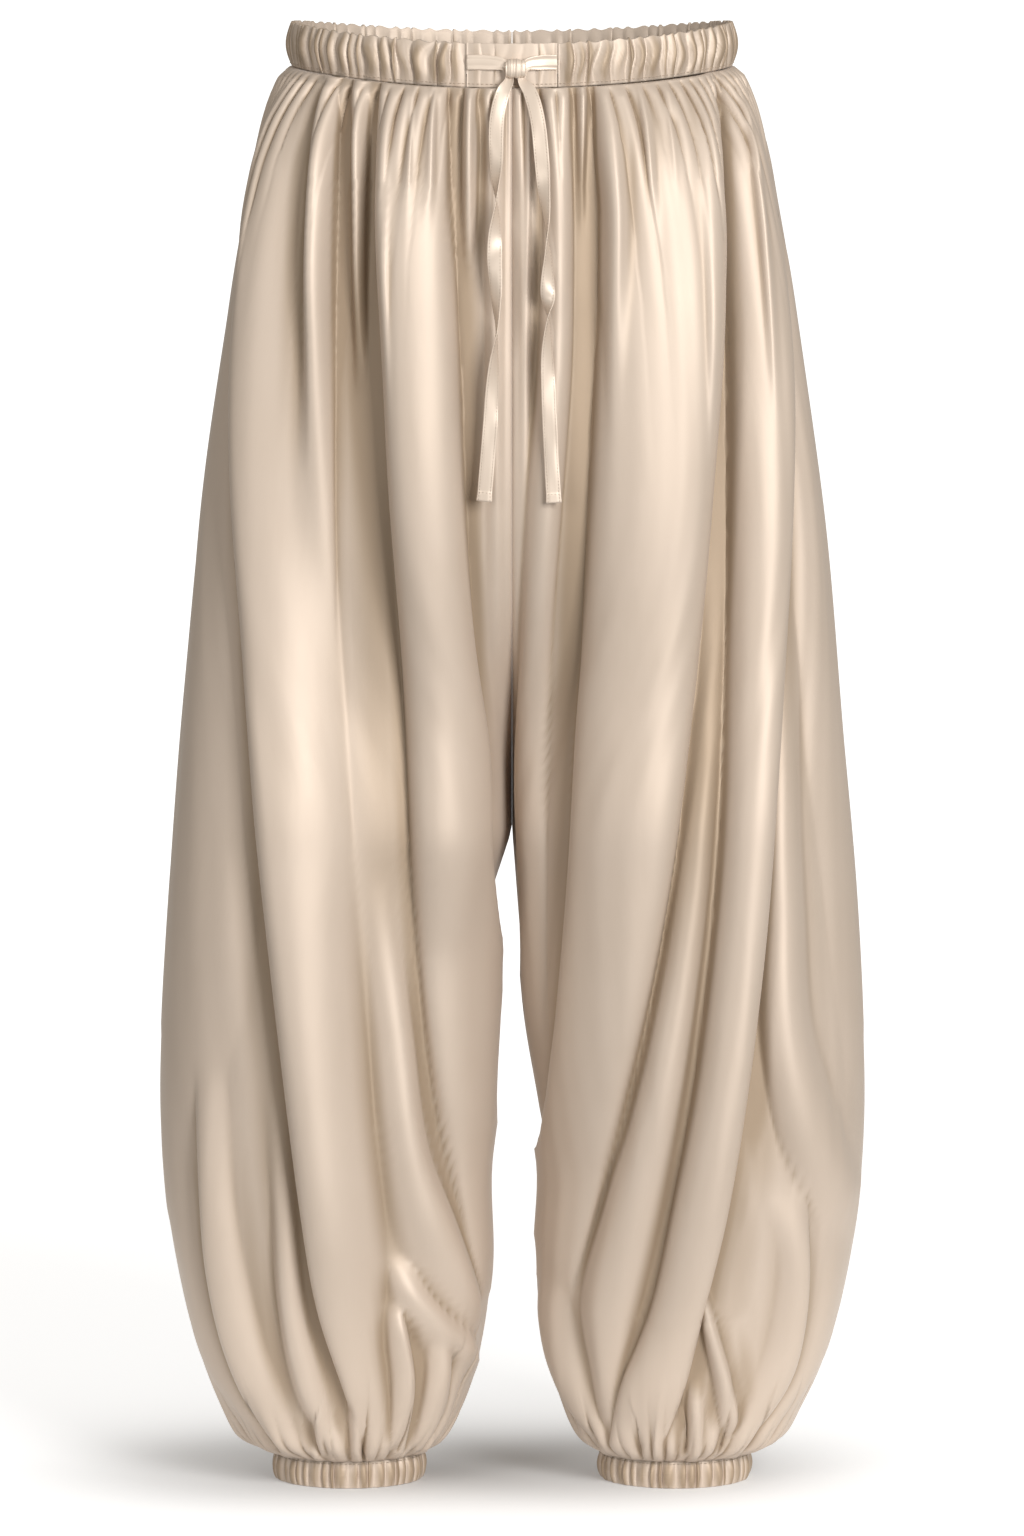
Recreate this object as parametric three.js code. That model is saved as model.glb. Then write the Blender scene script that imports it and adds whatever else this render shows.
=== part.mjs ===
// Satin balloon trousers, filled out as when worn, with nobody in them. Millimetres, +Z up.
// The front faces -Y and the wearer's left is +X. The origin is the middle of the waist opening,
// where a wearer's waist holds the trousers. Each leg has a front and a back panel of one cut,
// gathered into an elastic casing at the waist and into an elastic cuff at the ankle. Flat ties
// leave the casing at the front, meet in a knot, and hang.
import * as THREE from "three";

const SEAM_GAP = 0.3; // between pieces that are sewn together
const CLOTH = 1.5; // the panels' wall, satin with its turned seams

// The waist: an oval casing whose top dips at the front and back.
const WAIST = { halfWidth: 147.5, halfDepth: 94.5, height: 29.5, wall: 1.8, gathers: 34, rise: 3.4 };
const WAIST_TOP = { middle: 9.2, frontDip: -2.1, sideLift: -5.1 };
const TIE_GAP_ANGLE = 0.208; // half the angle of the flat stretch that the ties cross
const FLAT_WALL = 1.2;

// The ankle cuffs: two round elastic casings.
const CUFF = { centre: 112, radius: 49.2, top: -964, bottom: -983, wall: 1.5, gathers: 36, rise: 2.4 };

// The crotch seam leaves the hip section at its start and reaches the fork at its end.
const CROTCH = { start: -200, fork: -535, bend: 4 };
const SQUARENESS = 0.12; // the sections are ovals at both ends, and squarer than ellipses between
const FOLD_BLEND = 4; // the power with which neighbouring folds merge
const SEAM_CALM = 14; // folds die out over this distance from the centre seams and inseams
const SIDE_CALM = { from: 0.6, share: 0.75 }; // and by this share from there to the side seams
const COLUMNS = 34; // of a panel's mesh
const COLUMN_GAP = 0.0045; // the least step from column to column, as a share of the way round a leg
const FOLD_ENDS = 10; // folds die out over this height past their ends

// The legs' outline: half width to the outseam, and depth at the front and back, below the folds.
const OUTLINE = [
  { z: -15, outer: 150, front: 96, back: 97 },
  { z: -23, outer: 156, front: 99, back: 100 },
  { z: -44, outer: 165, front: 103, back: 105 },
  { z: -74, outer: 173, front: 107, back: 111 },
  { z: -105, outer: 178.5, front: 109, back: 116 },
  { z: -174, outer: 190.5, front: 111, back: 122 },
  { z: -311, outer: 209, front: 110, back: 122 },
  { z: -447, outer: 222, front: 107, back: 115 },
  { z: -584, outer: 233, front: 106, back: 108 },
  { z: -706, outer: 238, front: 106, back: 107 },
  { z: -789, outer: 234, front: 104, back: 105 },
  { z: -858, outer: 222, front: 96, back: 97 },
  { z: -905, outer: 208.5, front: 86, back: 86 },
  { z: -936, outer: 194, front: 73, back: 73 },
  { z: -956, outer: 180, front: 63, back: 63 },
  { z: -964, outer: 165, front: 52.5, back: 52.5 },
];

// The inseams' distance from the middle, below the fork.
const INSEAMS = {
  left: [
    { z: -535, inner: 0 },
    { z: -600, inner: 5 },
    { z: -660, inner: 10 },
    { z: -720, inner: 20 },
    { z: -768, inner: 26 },
    { z: -840, inner: 17 },
    { z: -900, inner: 25 },
    { z: -936, inner: 37 },
    { z: -956, inner: 49 },
    { z: -964, inner: 60 },
  ],
  right: [
    { z: -535, inner: 0 },
    { z: -600, inner: 15 },
    { z: -660, inner: 16 },
    { z: -720, inner: 17 },
    { z: -768, inner: 20 },
    { z: -840, inner: 15 },
    { z: -900, inner: 23 },
    { z: -936, inner: 35 },
    { z: -956, inner: 49 },
    { z: -964, inner: 60 },
  ],
};

// The folds, each from its top to its low end. At the heights z, near and far are its two edges'
// distances from the middle as seen from the front, and rise is how far its crest stands off the
// section. crest is the crest's share of the way across. An edge is sharper the lower its power.
// The columns of a panel's mesh run along the edges and crests of the folds that guide it.
const SOFT = { crest: 0.5, nearPower: 1.5, farPower: 1.5 };
const FRONT_FOLDS = {
  right: [
    {
      ...SOFT, name: "wide pleat", isGuide: true, crest: 0.7, nearPower: 1.4, farPower: 0.6,
      z: [-24, -100, -210, -400, -600, -780, -910, -958],
      near: [118, 117, 118, 114, 102, 86, 82, 86],
      far: [152, 168, 175.5, 172, 159, 140, 113, 100],
      rise: [5, 21, 25, 24, 23, 21, 12, 4],
    },
    {
      ...SOFT, name: "middle pleat", isGuide: true, crest: 0.55, nearPower: 0.55, farPower: 0.6,
      z: [-24, -100, -210, -400, -600, -770, -850],
      near: [43, 40.5, 34.3, 25.7, 13, 12, 12],
      far: [87, 88.5, 84, 74.5, 65, 40, 22],
      rise: [5, 22, 27, 27, 20, 10, 2],
    },
    {
      ...SOFT, name: "outseam roll",
      z: [-24, -170, -450, -600, -760],
      near: [150, 176, 172, 170, 214],
      far: [166, 204, 232, 239, 240],
      rise: [3, 9, 12, 12, 3],
    },
    {
      ...SOFT, name: "outer ankle ridge", crest: 0.65, farPower: 1,
      z: [-660, -780, -880, -960],
      near: [195, 186, 166, 143],
      far: [216, 208, 193, 157],
      rise: [0, 13, 16, 4],
    },
    {
      ...SOFT, name: "ridge in the valley",
      z: [-700, -850, -960],
      near: [150, 138, 112],
      far: [168, 160, 124],
      rise: [0, 9, 4],
    },
    {
      ...SOFT, name: "long swag", isGuide: true,
      z: [-24, -400, -560, -740, -850, -915],
      near: [92, 82, 74, 52, 26, 30],
      far: [110, 104, 98, 82, 60, 56],
      rise: [0, 0, 0, 13, 10, 0],
    },
  ],
  left: [
    {
      ...SOFT, name: "fold beside the tie", isGuide: true, farPower: 1,
      z: [-24, -140, -300, -500, -790],
      near: [18, 18, 8, 3, 14],
      far: [38, 41, 34, 24, 26],
      rise: [5, 13, 12, 9, 0],
    },
    {
      ...SOFT, name: "broad pleat", isGuide: true, crest: 0.56, nearPower: 0.5, farPower: 0.55,
      z: [-24, -100, -210, -400, -600, -780, -840],
      near: [54, 56.5, 55, 47, 37.7, 22, 18],
      far: [134, 136, 135, 123.4, 100, 60, 42],
      rise: [5, 23, 29, 29, 23, 12, 3],
    },
    {
      ...SOFT, name: "long pleat", isGuide: true, nearPower: 0.6, farPower: 0.55,
      z: [-24, -100, -210, -400, -600, -780, -910, -958],
      near: [139, 139, 142.5, 142.8, 133.6, 108, 73, 68],
      far: [156, 172, 181.5, 174.8, 165, 144, 116, 100],
      rise: [5, 21, 26, 25, 22, 20, 12, 4],
    },
    {
      ...SOFT, name: "outseam roll",
      z: [-24, -170, -420, -560, -700],
      near: [154, 186, 192, 208, 226],
      far: [164, 206, 234, 240, 240],
      rise: [3, 7, 11, 9, 4],
    },
    {
      ...SOFT, name: "outer knee ridge", crest: 0.4, nearPower: 1,
      z: [-380, -580, -730, -810],
      near: [180, 168, 178, 214],
      far: [196, 200, 226, 240],
      rise: [0, 11, 14, 3],
    },
    {
      ...SOFT, name: "outer ankle ridge", crest: 0.7, farPower: 1,
      z: [-770, -870, -960],
      near: [168, 172, 140],
      far: [200, 196, 154],
      rise: [0, 13, 4],
    },
    {
      ...SOFT, name: "rib between the pleats", farPower: 1,
      z: [-430, -600, -740, -850, -930],
      near: [122, 101, 72, 46, 58],
      far: [141, 130, 112, 88, 72],
      rise: [0, 11, 15, 11, 2],
    },
    {
      ...SOFT, name: "inner ankle ridge",
      z: [-820, -920, -960],
      near: [18, 34, 62],
      far: [34, 56, 74],
      rise: [0, 8, 4],
    },
  ],
};

// The hidden side has folds like the front's, the same list on both legs but shifted on the right.
const BACK_SHIFT = { left: 0, right: 7 };
const BACK_FOLDS = [
  {
    ...SOFT, name: "seat pleat", isGuide: true, nearPower: 0.7, farPower: 0.65,
    z: [-24, -140, -300, -600, -860],
    near: [30, 28, 30, 18, 12],
    far: [52, 70, 74, 64, 34],
    rise: [5, 21, 23, 16, 2],
  },
  {
    ...SOFT, name: "middle pleat", isGuide: true, nearPower: 0.65, farPower: 0.65,
    z: [-24, -150, -300, -600, -850, -958],
    near: [88, 82, 80, 80, 70, 78],
    far: [104, 132, 130, 124, 104, 94],
    rise: [5, 22, 24, 21, 15, 4],
  },
  {
    ...SOFT, name: "outer pleat", isGuide: true, nearPower: 0.65, farPower: 0.8,
    z: [-24, -150, -300, -600, -850, -958],
    near: [121, 142, 144, 138, 118, 106],
    far: [134, 176, 182, 180, 150, 124],
    rise: [5, 19, 21, 18, 14, 4],
  },
  {
    ...SOFT, name: "outseam roll",
    z: [-24, -200, -520, -780],
    near: [138, 176, 188, 210],
    far: [147, 204, 234, 239],
    rise: [4, 11, 12, 3],
  },
  {
    ...SOFT, name: "outer ankle ridge",
    z: [-720, -860, -960],
    near: [180, 164, 136],
    far: [214, 194, 150],
    rise: [0, 13, 4],
  },
  {
    ...SOFT, name: "seat swag",
    z: [-590, -770, -880],
    near: [72, 42, 22],
    far: [90, 78, 40],
    rise: [0, 12, 0],
  },
  {
    ...SOFT, name: "inner ankle ridge",
    z: [-840, -910, -960],
    near: [34, 40, 62],
    far: [48, 58, 74],
    rise: [0, 9, 4],
  },
];

// Heights of the panels' rings, as shares of the way down.
const RING_HEIGHTS = [
  0, 0.009, 0.024, 0.05, 0.09, 0.14, 0.2, 0.265, 0.335, 0.405, 0.47,
  0.525, 0.585, 0.65, 0.715, 0.775, 0.83, 0.88, 0.925, 0.963, 0.988, 1,
];

// The ties: flat satin strips. Each hanging end has its route from the knot and its turns about it.
const TIE = { width: 10, thickness: 1, steps: 15 };
const KNOT = { x: 2.4, y: -101, z: -14.6, halfWidth: 6.8, halfDepth: 4.6, halfHeight: 6.4 };
const RUN = { y: -95.4, knotY: -99.4, z: -10.5, outerX: 30.2, knotWidth: 7 };
const TAILS = {
  right: {
    route: [
      [-1.4, -101, -21.4],
      [-6, -106, -30],
      [-10, -112, -48],
      [-10.6, -120, -74],
      [-10.3, -125.5, -101],
      [-11.6, -127, -134],
      [-10.6, -127, -165],
      [-10.4, -127, -190],
      [-12.6, -126, -220],
      [-14.4, -124.5, -250],
      [-16.6, -123, -278],
      [-18.6, -122, -302],
    ],
    turns: [20, 0, 0, 25, 90, 175, 225, 272, 325, 352, 360, 368],
  },
  left: {
    route: [
      [6.4, -101, -21.4],
      [12, -106, -30],
      [17, -113, -48],
      [19.8, -120, -74],
      [21.8, -125.5, -101],
      [23.6, -128, -127],
      [23.8, -128.5, -160],
      [24, -128, -178],
      [23.6, -127, -204],
      [24.6, -125.5, -235],
      [26.2, -124, -270],
      [28, -123, -303],
    ],
    turns: [-20, 0, 0, 5, 45, 95, 170, 268, 322, 352, 360, 356],
  },
};

const clamp = (value, low, high) => Math.min(high, Math.max(low, value));
const smooth = (share) => share * share * (3 - 2 * share);

// The smooth curve through (at[i], values[i]), with slopes from each point's neighbours.
function curve(at, values, where) {
  const last = at.length - 1;
  const place = clamp(where, Math.min(at[0], at[last]), Math.max(at[0], at[last]));
  let i = 0;
  while (i < last - 1 && (place - at[i + 1]) * (at[last] - at[0]) > 0) i += 1;
  const slope = (k) => {
    const a = Math.max(k - 1, 0);
    const b = Math.min(k + 1, last);
    return (values[b] - values[a]) / (at[b] - at[a]);
  };
  const span = at[i + 1] - at[i];
  const t = (place - at[i]) / span;
  const start = (1 + 2 * t) * (1 - t) ** 2 * values[i] + t * (1 - t) ** 2 * span * slope(i);
  return start + t * t * (3 - 2 * t) * values[i + 1] + t * t * (t - 1) * span * slope(i + 1);
}

const columnsOf = (rows) =>
  Object.fromEntries(Object.keys(rows[0]).map((name) => [name, rows.map((row) => row[name])]));
const outline = columnsOf(OUTLINE);
const inseams = { left: columnsOf(INSEAMS.left), right: columnsOf(INSEAMS.right) };

// The waist's edges, by the angle from the middle of the front.
const waistTop = (angle) =>
  WAIST_TOP.middle + WAIST_TOP.frontDip * Math.cos(angle) + WAIST_TOP.sideLift * Math.cos(2 * angle);
const waistSeam = (angle) => waistTop(angle) - WAIST.height;

// A leg's sizes at a height. fork runs from 0, one hip section, to 1, a leg closed on itself.
function sizesAt(side, z) {
  const way = clamp((CROTCH.start - z) / (CROTCH.start - CROTCH.fork), 0, 1);
  return {
    fork: way ** CROTCH.bend * (1 + CROTCH.bend * (1 - way)),
    outer: curve(outline.z, outline.outer, z),
    inner: z < CROTCH.fork ? curve(inseams[side].z, inseams[side].inner, z) : 0,
    front: curve(outline.z, outline.front, z),
    back: curve(outline.z, outline.back, z),
    power: 1 - SQUARENESS * smooth(clamp(Math.min(-30 - z, z + 950) / 60, 0, 1)),
  };
}

// The section's point at a place round the leg: 0 is the centre front or the inseam, 0.5 the outseam
// and 1 the centre back or the inseam again. A quarter oval and a closed loop are mixed by the fork.
function sectionPoint(sizes, place) {
  const front = place <= 0.5;
  const t = front ? 2 * place : 2 * (1 - place);
  const across = Math.sin((Math.PI / 2) * t);
  const x = (1 - sizes.fork) * sizes.outer * across
    + sizes.fork * (sizes.inner + (sizes.outer - sizes.inner) * across ** 2);
  const hip = Math.max(Math.cos((Math.PI / 2) * t), 0) ** sizes.power;
  const loop = Math.max(Math.sin(Math.PI * t), 0) ** sizes.power;
  const depth = front ? -sizes.front : sizes.back;
  return [x, depth * ((1 - sizes.fork) * hip + sizes.fork * loop)];
}

// The place round the leg of a point that is x from the middle as seen from the front or the back.
function placeOf(sizes, x, isFront) {
  const a = sizes.fork * (sizes.outer - sizes.inner);
  const b = (1 - sizes.fork) * sizes.outer;
  const c = sizes.fork * sizes.inner - x;
  const across = a < 1e-6 ? -c / b : (-b + Math.sqrt(Math.max(b * b - 4 * a * c, 0))) / (2 * a);
  const t = Math.asin(clamp(across, 0, 1)) / (Math.PI / 2);
  return isFront ? t / 2 : 1 - t / 2;
}

// A fold's near edge, crest and far edge at a height, as places round the leg.
function foldPlaces(side, fold, sizes, z) {
  const ends = smooth(clamp((z + 960) / 40, 0, 1)) * smooth(clamp((-20 - z) / 40, 0, 1));
  const shift = fold.isFront ? 0 : BACK_SHIFT[side] * ends;
  const near = placeOf(sizes, curve(fold.z, fold.near, z) + shift, fold.isFront);
  const far = placeOf(sizes, curve(fold.z, fold.far, z) + shift, fold.isFront);
  return { near, crest: near + fold.crest * (far - near), far };
}

const foldsOf = (side, isFront) =>
  (isFront ? FRONT_FOLDS[side] : BACK_FOLDS).map((fold) => ({ ...fold, isFront }));
const allFolds = Object.fromEntries(
  ["left", "right"].map((side) => [side, [...foldsOf(side, true), ...foldsOf(side, false)]]),
);

// How far the folds lift the cloth off its section there. A flank falls as (1 - r²) to its power, and
// the higher of two neighbouring folds wins.
function foldRise(side, sizes, place, z, speed) {
  let sum = 0;
  for (const fold of allFolds[side]) {
    const above = (z - fold.z.at(-1) + FOLD_ENDS) / FOLD_ENDS;
    const below = (fold.z[0] - z + FOLD_ENDS) / FOLD_ENDS;
    if (above <= 0 || below <= 0) continue;
    const { near, crest, far } = foldPlaces(side, fold, sizes, z);
    const isPast = fold.isFront ? place > crest : place < crest;
    const r = Math.abs(place - crest) / (Math.abs((isPast ? far : near) - crest) + 1e-9);
    if (r >= 1) continue;
    const profile = (1 - r * r) ** (isPast ? fold.farPower : fold.nearPower);
    const rise = curve(fold.z, fold.rise, z) * smooth(Math.min(above, 1)) * smooth(Math.min(below, 1));
    sum += Math.max(rise * profile, 0) ** FOLD_BLEND;
  }
  const inward = Math.min(place, 1 - place);
  const calm = smooth(clamp((inward * speed) / SEAM_CALM, 0, 1));
  const outward = clamp((2 * inward - SIDE_CALM.from) / (1 - SIDE_CALM.from), 0, 1);
  const outerCalm = 1 - SIDE_CALM.share * smooth(outward);
  return calm * outerCalm * sum ** (1 / FOLD_BLEND);
}

// A point of the cloth's outer face, by its place round the leg and its share of the way down.
function clothPoint(side, place, down) {
  const t = place <= 0.5 ? 2 * place : 2 * (1 - place);
  const angle = place <= 0.5 ? (Math.PI / 2) * t : Math.PI - (Math.PI / 2) * t;
  const top = waistSeam(angle) - SEAM_GAP;
  const z = top + (CUFF.top + SEAM_GAP - top) * down;
  const sizes = sizesAt(side, z);
  const step = 1e-3;
  const [x0, y0] = sectionPoint(sizes, clamp(place - step, 0, 1));
  const [x1, y1] = sectionPoint(sizes, clamp(place + step, 0, 1));
  const length = Math.hypot(x1 - x0, y1 - y0);
  const speed = length / (clamp(place + step, 0, 1) - clamp(place - step, 0, 1));
  const rise = foldRise(side, sizes, place, z, speed);
  const [x, y] = sectionPoint(sizes, place);
  const point = new THREE.Vector3(x + ((y1 - y0) / length) * rise, y - ((x1 - x0) / length) * rise, z);
  if (side === "right") point.x = -point.x;
  return point;
}

// Triangles between two rows of vertices, which may have different counts. Where both rows are level,
// the shorter diagonal is taken, as on the model rows if they are given.
function stitch(triangles, points, a, b, [aModel, bModel] = [a, b]) {
  let i = 0;
  let j = 0;
  while (i < a.length - 1 || j < b.length - 1) {
    const aNext = (i + 1) / (a.length - 1);
    const bNext = (j + 1) / (b.length - 1);
    let aFirst = aNext < bNext;
    if (aNext === bNext) {
      const rising = points[aModel[i + 1]].distanceTo(points[bModel[j]]);
      aFirst = rising <= points[aModel[i]].distanceTo(points[bModel[j + 1]]);
    }
    if (j === b.length - 1 || (i < a.length - 1 && aFirst)) {
      triangles.push(a[i], a[i + 1], b[j]);
      i += 1;
    } else {
      triangles.push(a[i], b[j + 1], b[j]);
      j += 1;
    }
  }
}

// A closed wall from rows of points on its outer and inner faces. Rows of a ring close on themselves.
function wall(outerRows, innerRows, isRing = false) {
  const points = [];
  const index = (rows) =>
    rows.map((row) => {
      const list = row.map((point) => points.push(point) - 1);
      return isRing ? [...list, list[0]] : list;
    });
  const outer = index(outerRows);
  const inner = index(innerRows);
  const isAlike = outer.length === inner.length && outer[0].length === inner[0].length;
  const triangles = [];
  outer.slice(1).forEach((row, i) => stitch(triangles, points, outer[i], row));
  inner.slice(1).forEach((row, i) =>
    stitch(triangles, points, row, inner[i], isAlike ? [outer[i + 1], outer[i]] : undefined),
  );
  stitch(triangles, points, inner[0], outer[0]);
  stitch(triangles, points, outer.at(-1), inner.at(-1));
  if (!isRing) {
    stitch(triangles, points, outer.map((row) => row[0]), inner.map((row) => row[0]));
    stitch(triangles, points, inner.map((row) => row.at(-1)), outer.map((row) => row.at(-1)));
  }
  return solid(points, triangles);
}

// A geometry from points and triangles, turned so that its faces point out.
function solid(points, triangles) {
  let volume = 0;
  for (let i = 0; i < triangles.length; i += 3) {
    const [a, b, c] = [0, 1, 2].map((k) => points[triangles[i + k]]);
    volume += a.dot(new THREE.Vector3().crossVectors(b, c));
  }
  if (volume < 0) triangles.reverse();
  const geometry = new THREE.BufferGeometry().setFromPoints(points).setIndex(triangles);
  geometry.computeVertexNormals();
  return geometry;
}

const spread = (count, low, high) =>
  Array.from({ length: count + 1 }, (_, i) => low + ((high - low) * i) / count);

// The places of a panel's guides at a ring: its two edges, and its guiding folds' edges and crests.
function guidePlaces(side, isFront, down) {
  const z = -20 + (CUFF.top + 20) * down;
  const sizes = sizesAt(side, z);
  const lines = foldsOf(side, isFront)
    .filter((fold) => fold.isGuide)
    .map((fold) => foldPlaces(side, fold, sizes, z))
    .flatMap(({ near, crest, far }) => [near, crest, far]);
  return isFront ? [0, ...lines, 0.5] : [0.5, ...lines.reverse(), 1];
}

// Places for a ring's columns. They run along the guides, with a fixed number between each two, even
// in a valley and closer towards the edge on a fold's two flanks.
function placesOf(side, isFront, down, counts) {
  const guides = guidePlaces(side, isFront, down);
  const spacing = [
    (t) => t,
    (t) => 1 - Math.cos((Math.PI / 2) * t),
    (t) => Math.sin((Math.PI / 2) * t),
  ];
  const places = guides.slice(1).flatMap((guide, i) =>
    spread(counts[i], 0, 1).slice(0, -1).map((t) => guides[i] + (guide - guides[i]) * spacing[i % 3](t)),
  );
  places.push(guides.at(-1));
  for (let i = 1; i < places.length; i += 1) places[i] = Math.max(places[i], places[i - 1] + COLUMN_GAP);
  places[places.length - 1] = guides.at(-1);
  for (let i = places.length - 2; i > 0; i -= 1) places[i] = Math.min(places[i], places[i + 1] - COLUMN_GAP);
  return places;
}

// How many columns lie between each two guides, by their mean distance.
function columnCounts(side, isFront) {
  const rings = RING_HEIGHTS.map((at) => guidePlaces(side, isFront, at));
  const gaps = rings[0].slice(1).map((_, i) =>
    rings.reduce((sum, ring) => sum + Math.max(ring[i + 1] - ring[i], 0), 0) / rings.length,
  );
  const counts = gaps.map((gap) => Math.max(2, Math.round((gap / 0.5) * COLUMNS)));
  while (counts.reduce((sum, count) => sum + count, 0) > COLUMNS) {
    counts[counts.indexOf(Math.max(...counts))] -= 1;
  }
  return counts;
}

// The rows of a panel's inner face: the outer face's vertices moved in by the wall, level at the rims.
function liningRows(side, rows) {
  const width = rows[0].length;
  const points = rows.flat();
  const triangles = [];
  const row = (r) => rows[0].map((_, i) => r * width + i);
  rows.slice(1).forEach((_, r) => stitch(triangles, points, row(r), row(r + 1)));
  const face = new THREE.BufferGeometry().setFromPoints(points).setIndex(triangles);
  face.computeVertexNormals();
  return rows.map((ring, r) =>
    ring.map((point, i) => {
      const inward = new THREE.Vector3().fromBufferAttribute(face.attributes.normal, r * width + i);
      if (r === 0 || r === rows.length - 1) inward.z = 0;
      return point.clone().addScaledVector(inward.normalize(), side === "left" ? CLOTH : -CLOTH);
    }),
  );
}

// One leg panel, from its seam at the centre or inseam to its seam at the side. It stands half the
// seam gap off the planes of its seams.
function panel(side, isFront) {
  const counts = columnCounts(side, isFront);
  const outer = RING_HEIGHTS.map((at) =>
    placesOf(side, isFront, at, counts).map((place) => clothPoint(side, place, at)),
  );
  const inner = liningRows(side, outer);
  const acrossSign = side === "left" ? 1 : -1;
  const depthSign = isFront ? -1 : 1;
  for (const point of [...outer, ...inner].flat()) {
    point.x = acrossSign * (Math.max(acrossSign * point.x, 0) + SEAM_GAP / 2);
    point.y = depthSign * (Math.max(depthSign * point.y, 0) + SEAM_GAP / 2);
  }
  return wall(outer, inner);
}

// The height of a casing's gathers: round crests that are pinched at the seam, uneven round the ring.
function gather(phase, share, rise) {
  const crest = Math.sin(Math.PI * (phase % 1)) ** 1.3;
  const uneven = 0.8 + 0.2 * Math.sin(2.3 * Math.floor(phase));
  return rise * crest * uneven * (0.35 + 0.65 * Math.sin(Math.PI * clamp(0.1 + 0.75 * share, 0, 1)));
}

const unevenStep = (phase) => phase + 0.22 * Math.sin(1.7 * phase) + 0.12 * Math.sin(4.1 * phase);

// A point of the waist's oval, set out from its inner face, at a share of the height up from the seam.
function waistPoint(angle, out, share) {
  const z = waistSeam(angle) + share * WAIST.height;
  return new THREE.Vector3(
    (WAIST.halfWidth + out) * Math.sin(angle),
    -(WAIST.halfDepth + out) * Math.cos(angle),
    z,
  );
}

// The gathered casing round one side, from the tie's exit to the centre back.
function waistCasing(side) {
  const sign = side === "left" ? 1 : -1;
  const gap = SEAM_GAP / 2 / WAIST.halfDepth;
  const start = TIE_GAP_ANGLE + gap;
  const end = Math.PI - gap;
  const angleAt = (phase) => start + ((end - start) * unevenStep(phase)) / unevenStep(WAIST.gathers);
  const outer = [0, 0.3, 0.72, 1].map((share) =>
    spread(WAIST.gathers * 4, 0, WAIST.gathers).map((phase) =>
      waistPoint(sign * angleAt(phase), WAIST.wall + gather(phase, share, WAIST.rise), share),
    ),
  );
  const inner = [0, 1].map((share) =>
    spread(WAIST.gathers, 0, WAIST.gathers).map((phase) => waistPoint(sign * angleAt(phase), 0, share)),
  );
  return wall(outer, inner);
}

// The flat stretch behind the ties, with shallow upright waves.
function waistFront() {
  const waves = 7;
  const end = TIE_GAP_ANGLE - SEAM_GAP / 2 / WAIST.halfDepth;
  const angles = spread(waves * 4, -end, end);
  const outer = [0, 0.5, 1].map((share) =>
    angles.map((angle, i) => waistPoint(angle, FLAT_WALL + 0.4 * Math.sin((Math.PI * i) / 4) ** 2, share)),
  );
  const inner = [0, 1].map((share) => spread(waves, -end, end).map((angle) => waistPoint(angle, 0, share)));
  return wall(outer, inner);
}

// One ankle cuff: a ring with close gathers, pinched where it meets the panels.
function cuff(side) {
  const sign = side === "left" ? 1 : -1;
  const height = CUFF.top - CUFF.bottom;
  const ring = (count, share, outAt) =>
    Array.from({ length: count }, (_, i) => {
      const phase = (i / count) * CUFF.gathers;
      const angle = (2 * Math.PI * unevenStep(phase)) / unevenStep(CUFF.gathers);
      const radius = CUFF.radius + outAt(phase);
      return new THREE.Vector3(
        sign * CUFF.centre + radius * Math.sin(angle),
        -radius * Math.cos(angle),
        CUFF.top - share * height,
      );
    });
  const outer = [0, 0.5, 1].map((share) =>
    ring(CUFF.gathers * 4, share, (phase) => CUFF.wall + gather(phase, 0.2 + 0.6 * share, CUFF.rise)),
  );
  const inner = [0, 1].map((share) => ring(CUFF.gathers, share, () => 0));
  return wall(outer, inner, true);
}

// A flat strip along a route: at each step a cross-section of the strip, turned about the route.
function strip(route, turns, widths) {
  const line = new THREE.CatmullRomCurve3(route.map((p) => new THREE.Vector3(...p)), false, "centripetal");
  const shares = spread(route.length - 1, 0, 1);
  const rows = spread(TIE.steps, 0, 1).map((t) => {
    const along = line.getTangent(t);
    const turn = THREE.MathUtils.degToRad(curve(shares, turns, t));
    const across = new THREE.Vector3(0, -1, 0).cross(along).normalize().applyAxisAngle(along, turn);
    const through = new THREE.Vector3().crossVectors(along, across).normalize();
    const half = curve(shares, widths, t) / 2;
    return [[1, 1], [0, 1], [-1, 1], [-1, -1], [0, -1], [1, -1]].map(([a, b]) =>
      line.getPoint(t).addScaledVector(across, a * half).addScaledVector(through, (b * TIE.thickness) / 2),
    );
  });
  return capped(rows);
}

// A closed solid through rows of points round it, with flat ends.
function capped(rows) {
  const count = rows[0].length;
  const points = rows.flat();
  const triangles = [];
  rows.slice(1).forEach((_, r) => {
    const row = (k) => Array.from({ length: count + 1 }, (__, i) => (r + k) * count + (i % count));
    stitch(triangles, points, row(0), row(1));
  });
  const last = (rows.length - 1) * count;
  for (let i = 1; i < count - 1; i += 1) {
    triangles.push(0, i + 1, i, last, last + i, last + i + 1);
  }
  return solid(points, triangles);
}

function tail(side) {
  const { route, turns } = TAILS[side];
  const widths = route.map((_, i) => (i === 0 ? 0.7 * TIE.width : TIE.width));
  return strip(route, turns, widths);
}

// The stretch of a tie that crosses the flat front, from its casing to the knot.
function run(side) {
  const sign = side === "left" ? 1 : -1;
  const knotEdge = KNOT.x + sign * (KNOT.halfWidth + SEAM_GAP);
  const route = [0, 0.5, 1].map((t) => [
    sign * RUN.outerX * (1 - t) + knotEdge * t,
    RUN.y * (1 - t * t) + RUN.knotY * t * t,
    RUN.z + (KNOT.z + 2 - RUN.z) * t * t,
  ]);
  return strip(route, [0, 0, 0], [TIE.width, 0.95 * TIE.width, RUN.knotWidth]);
}

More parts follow.
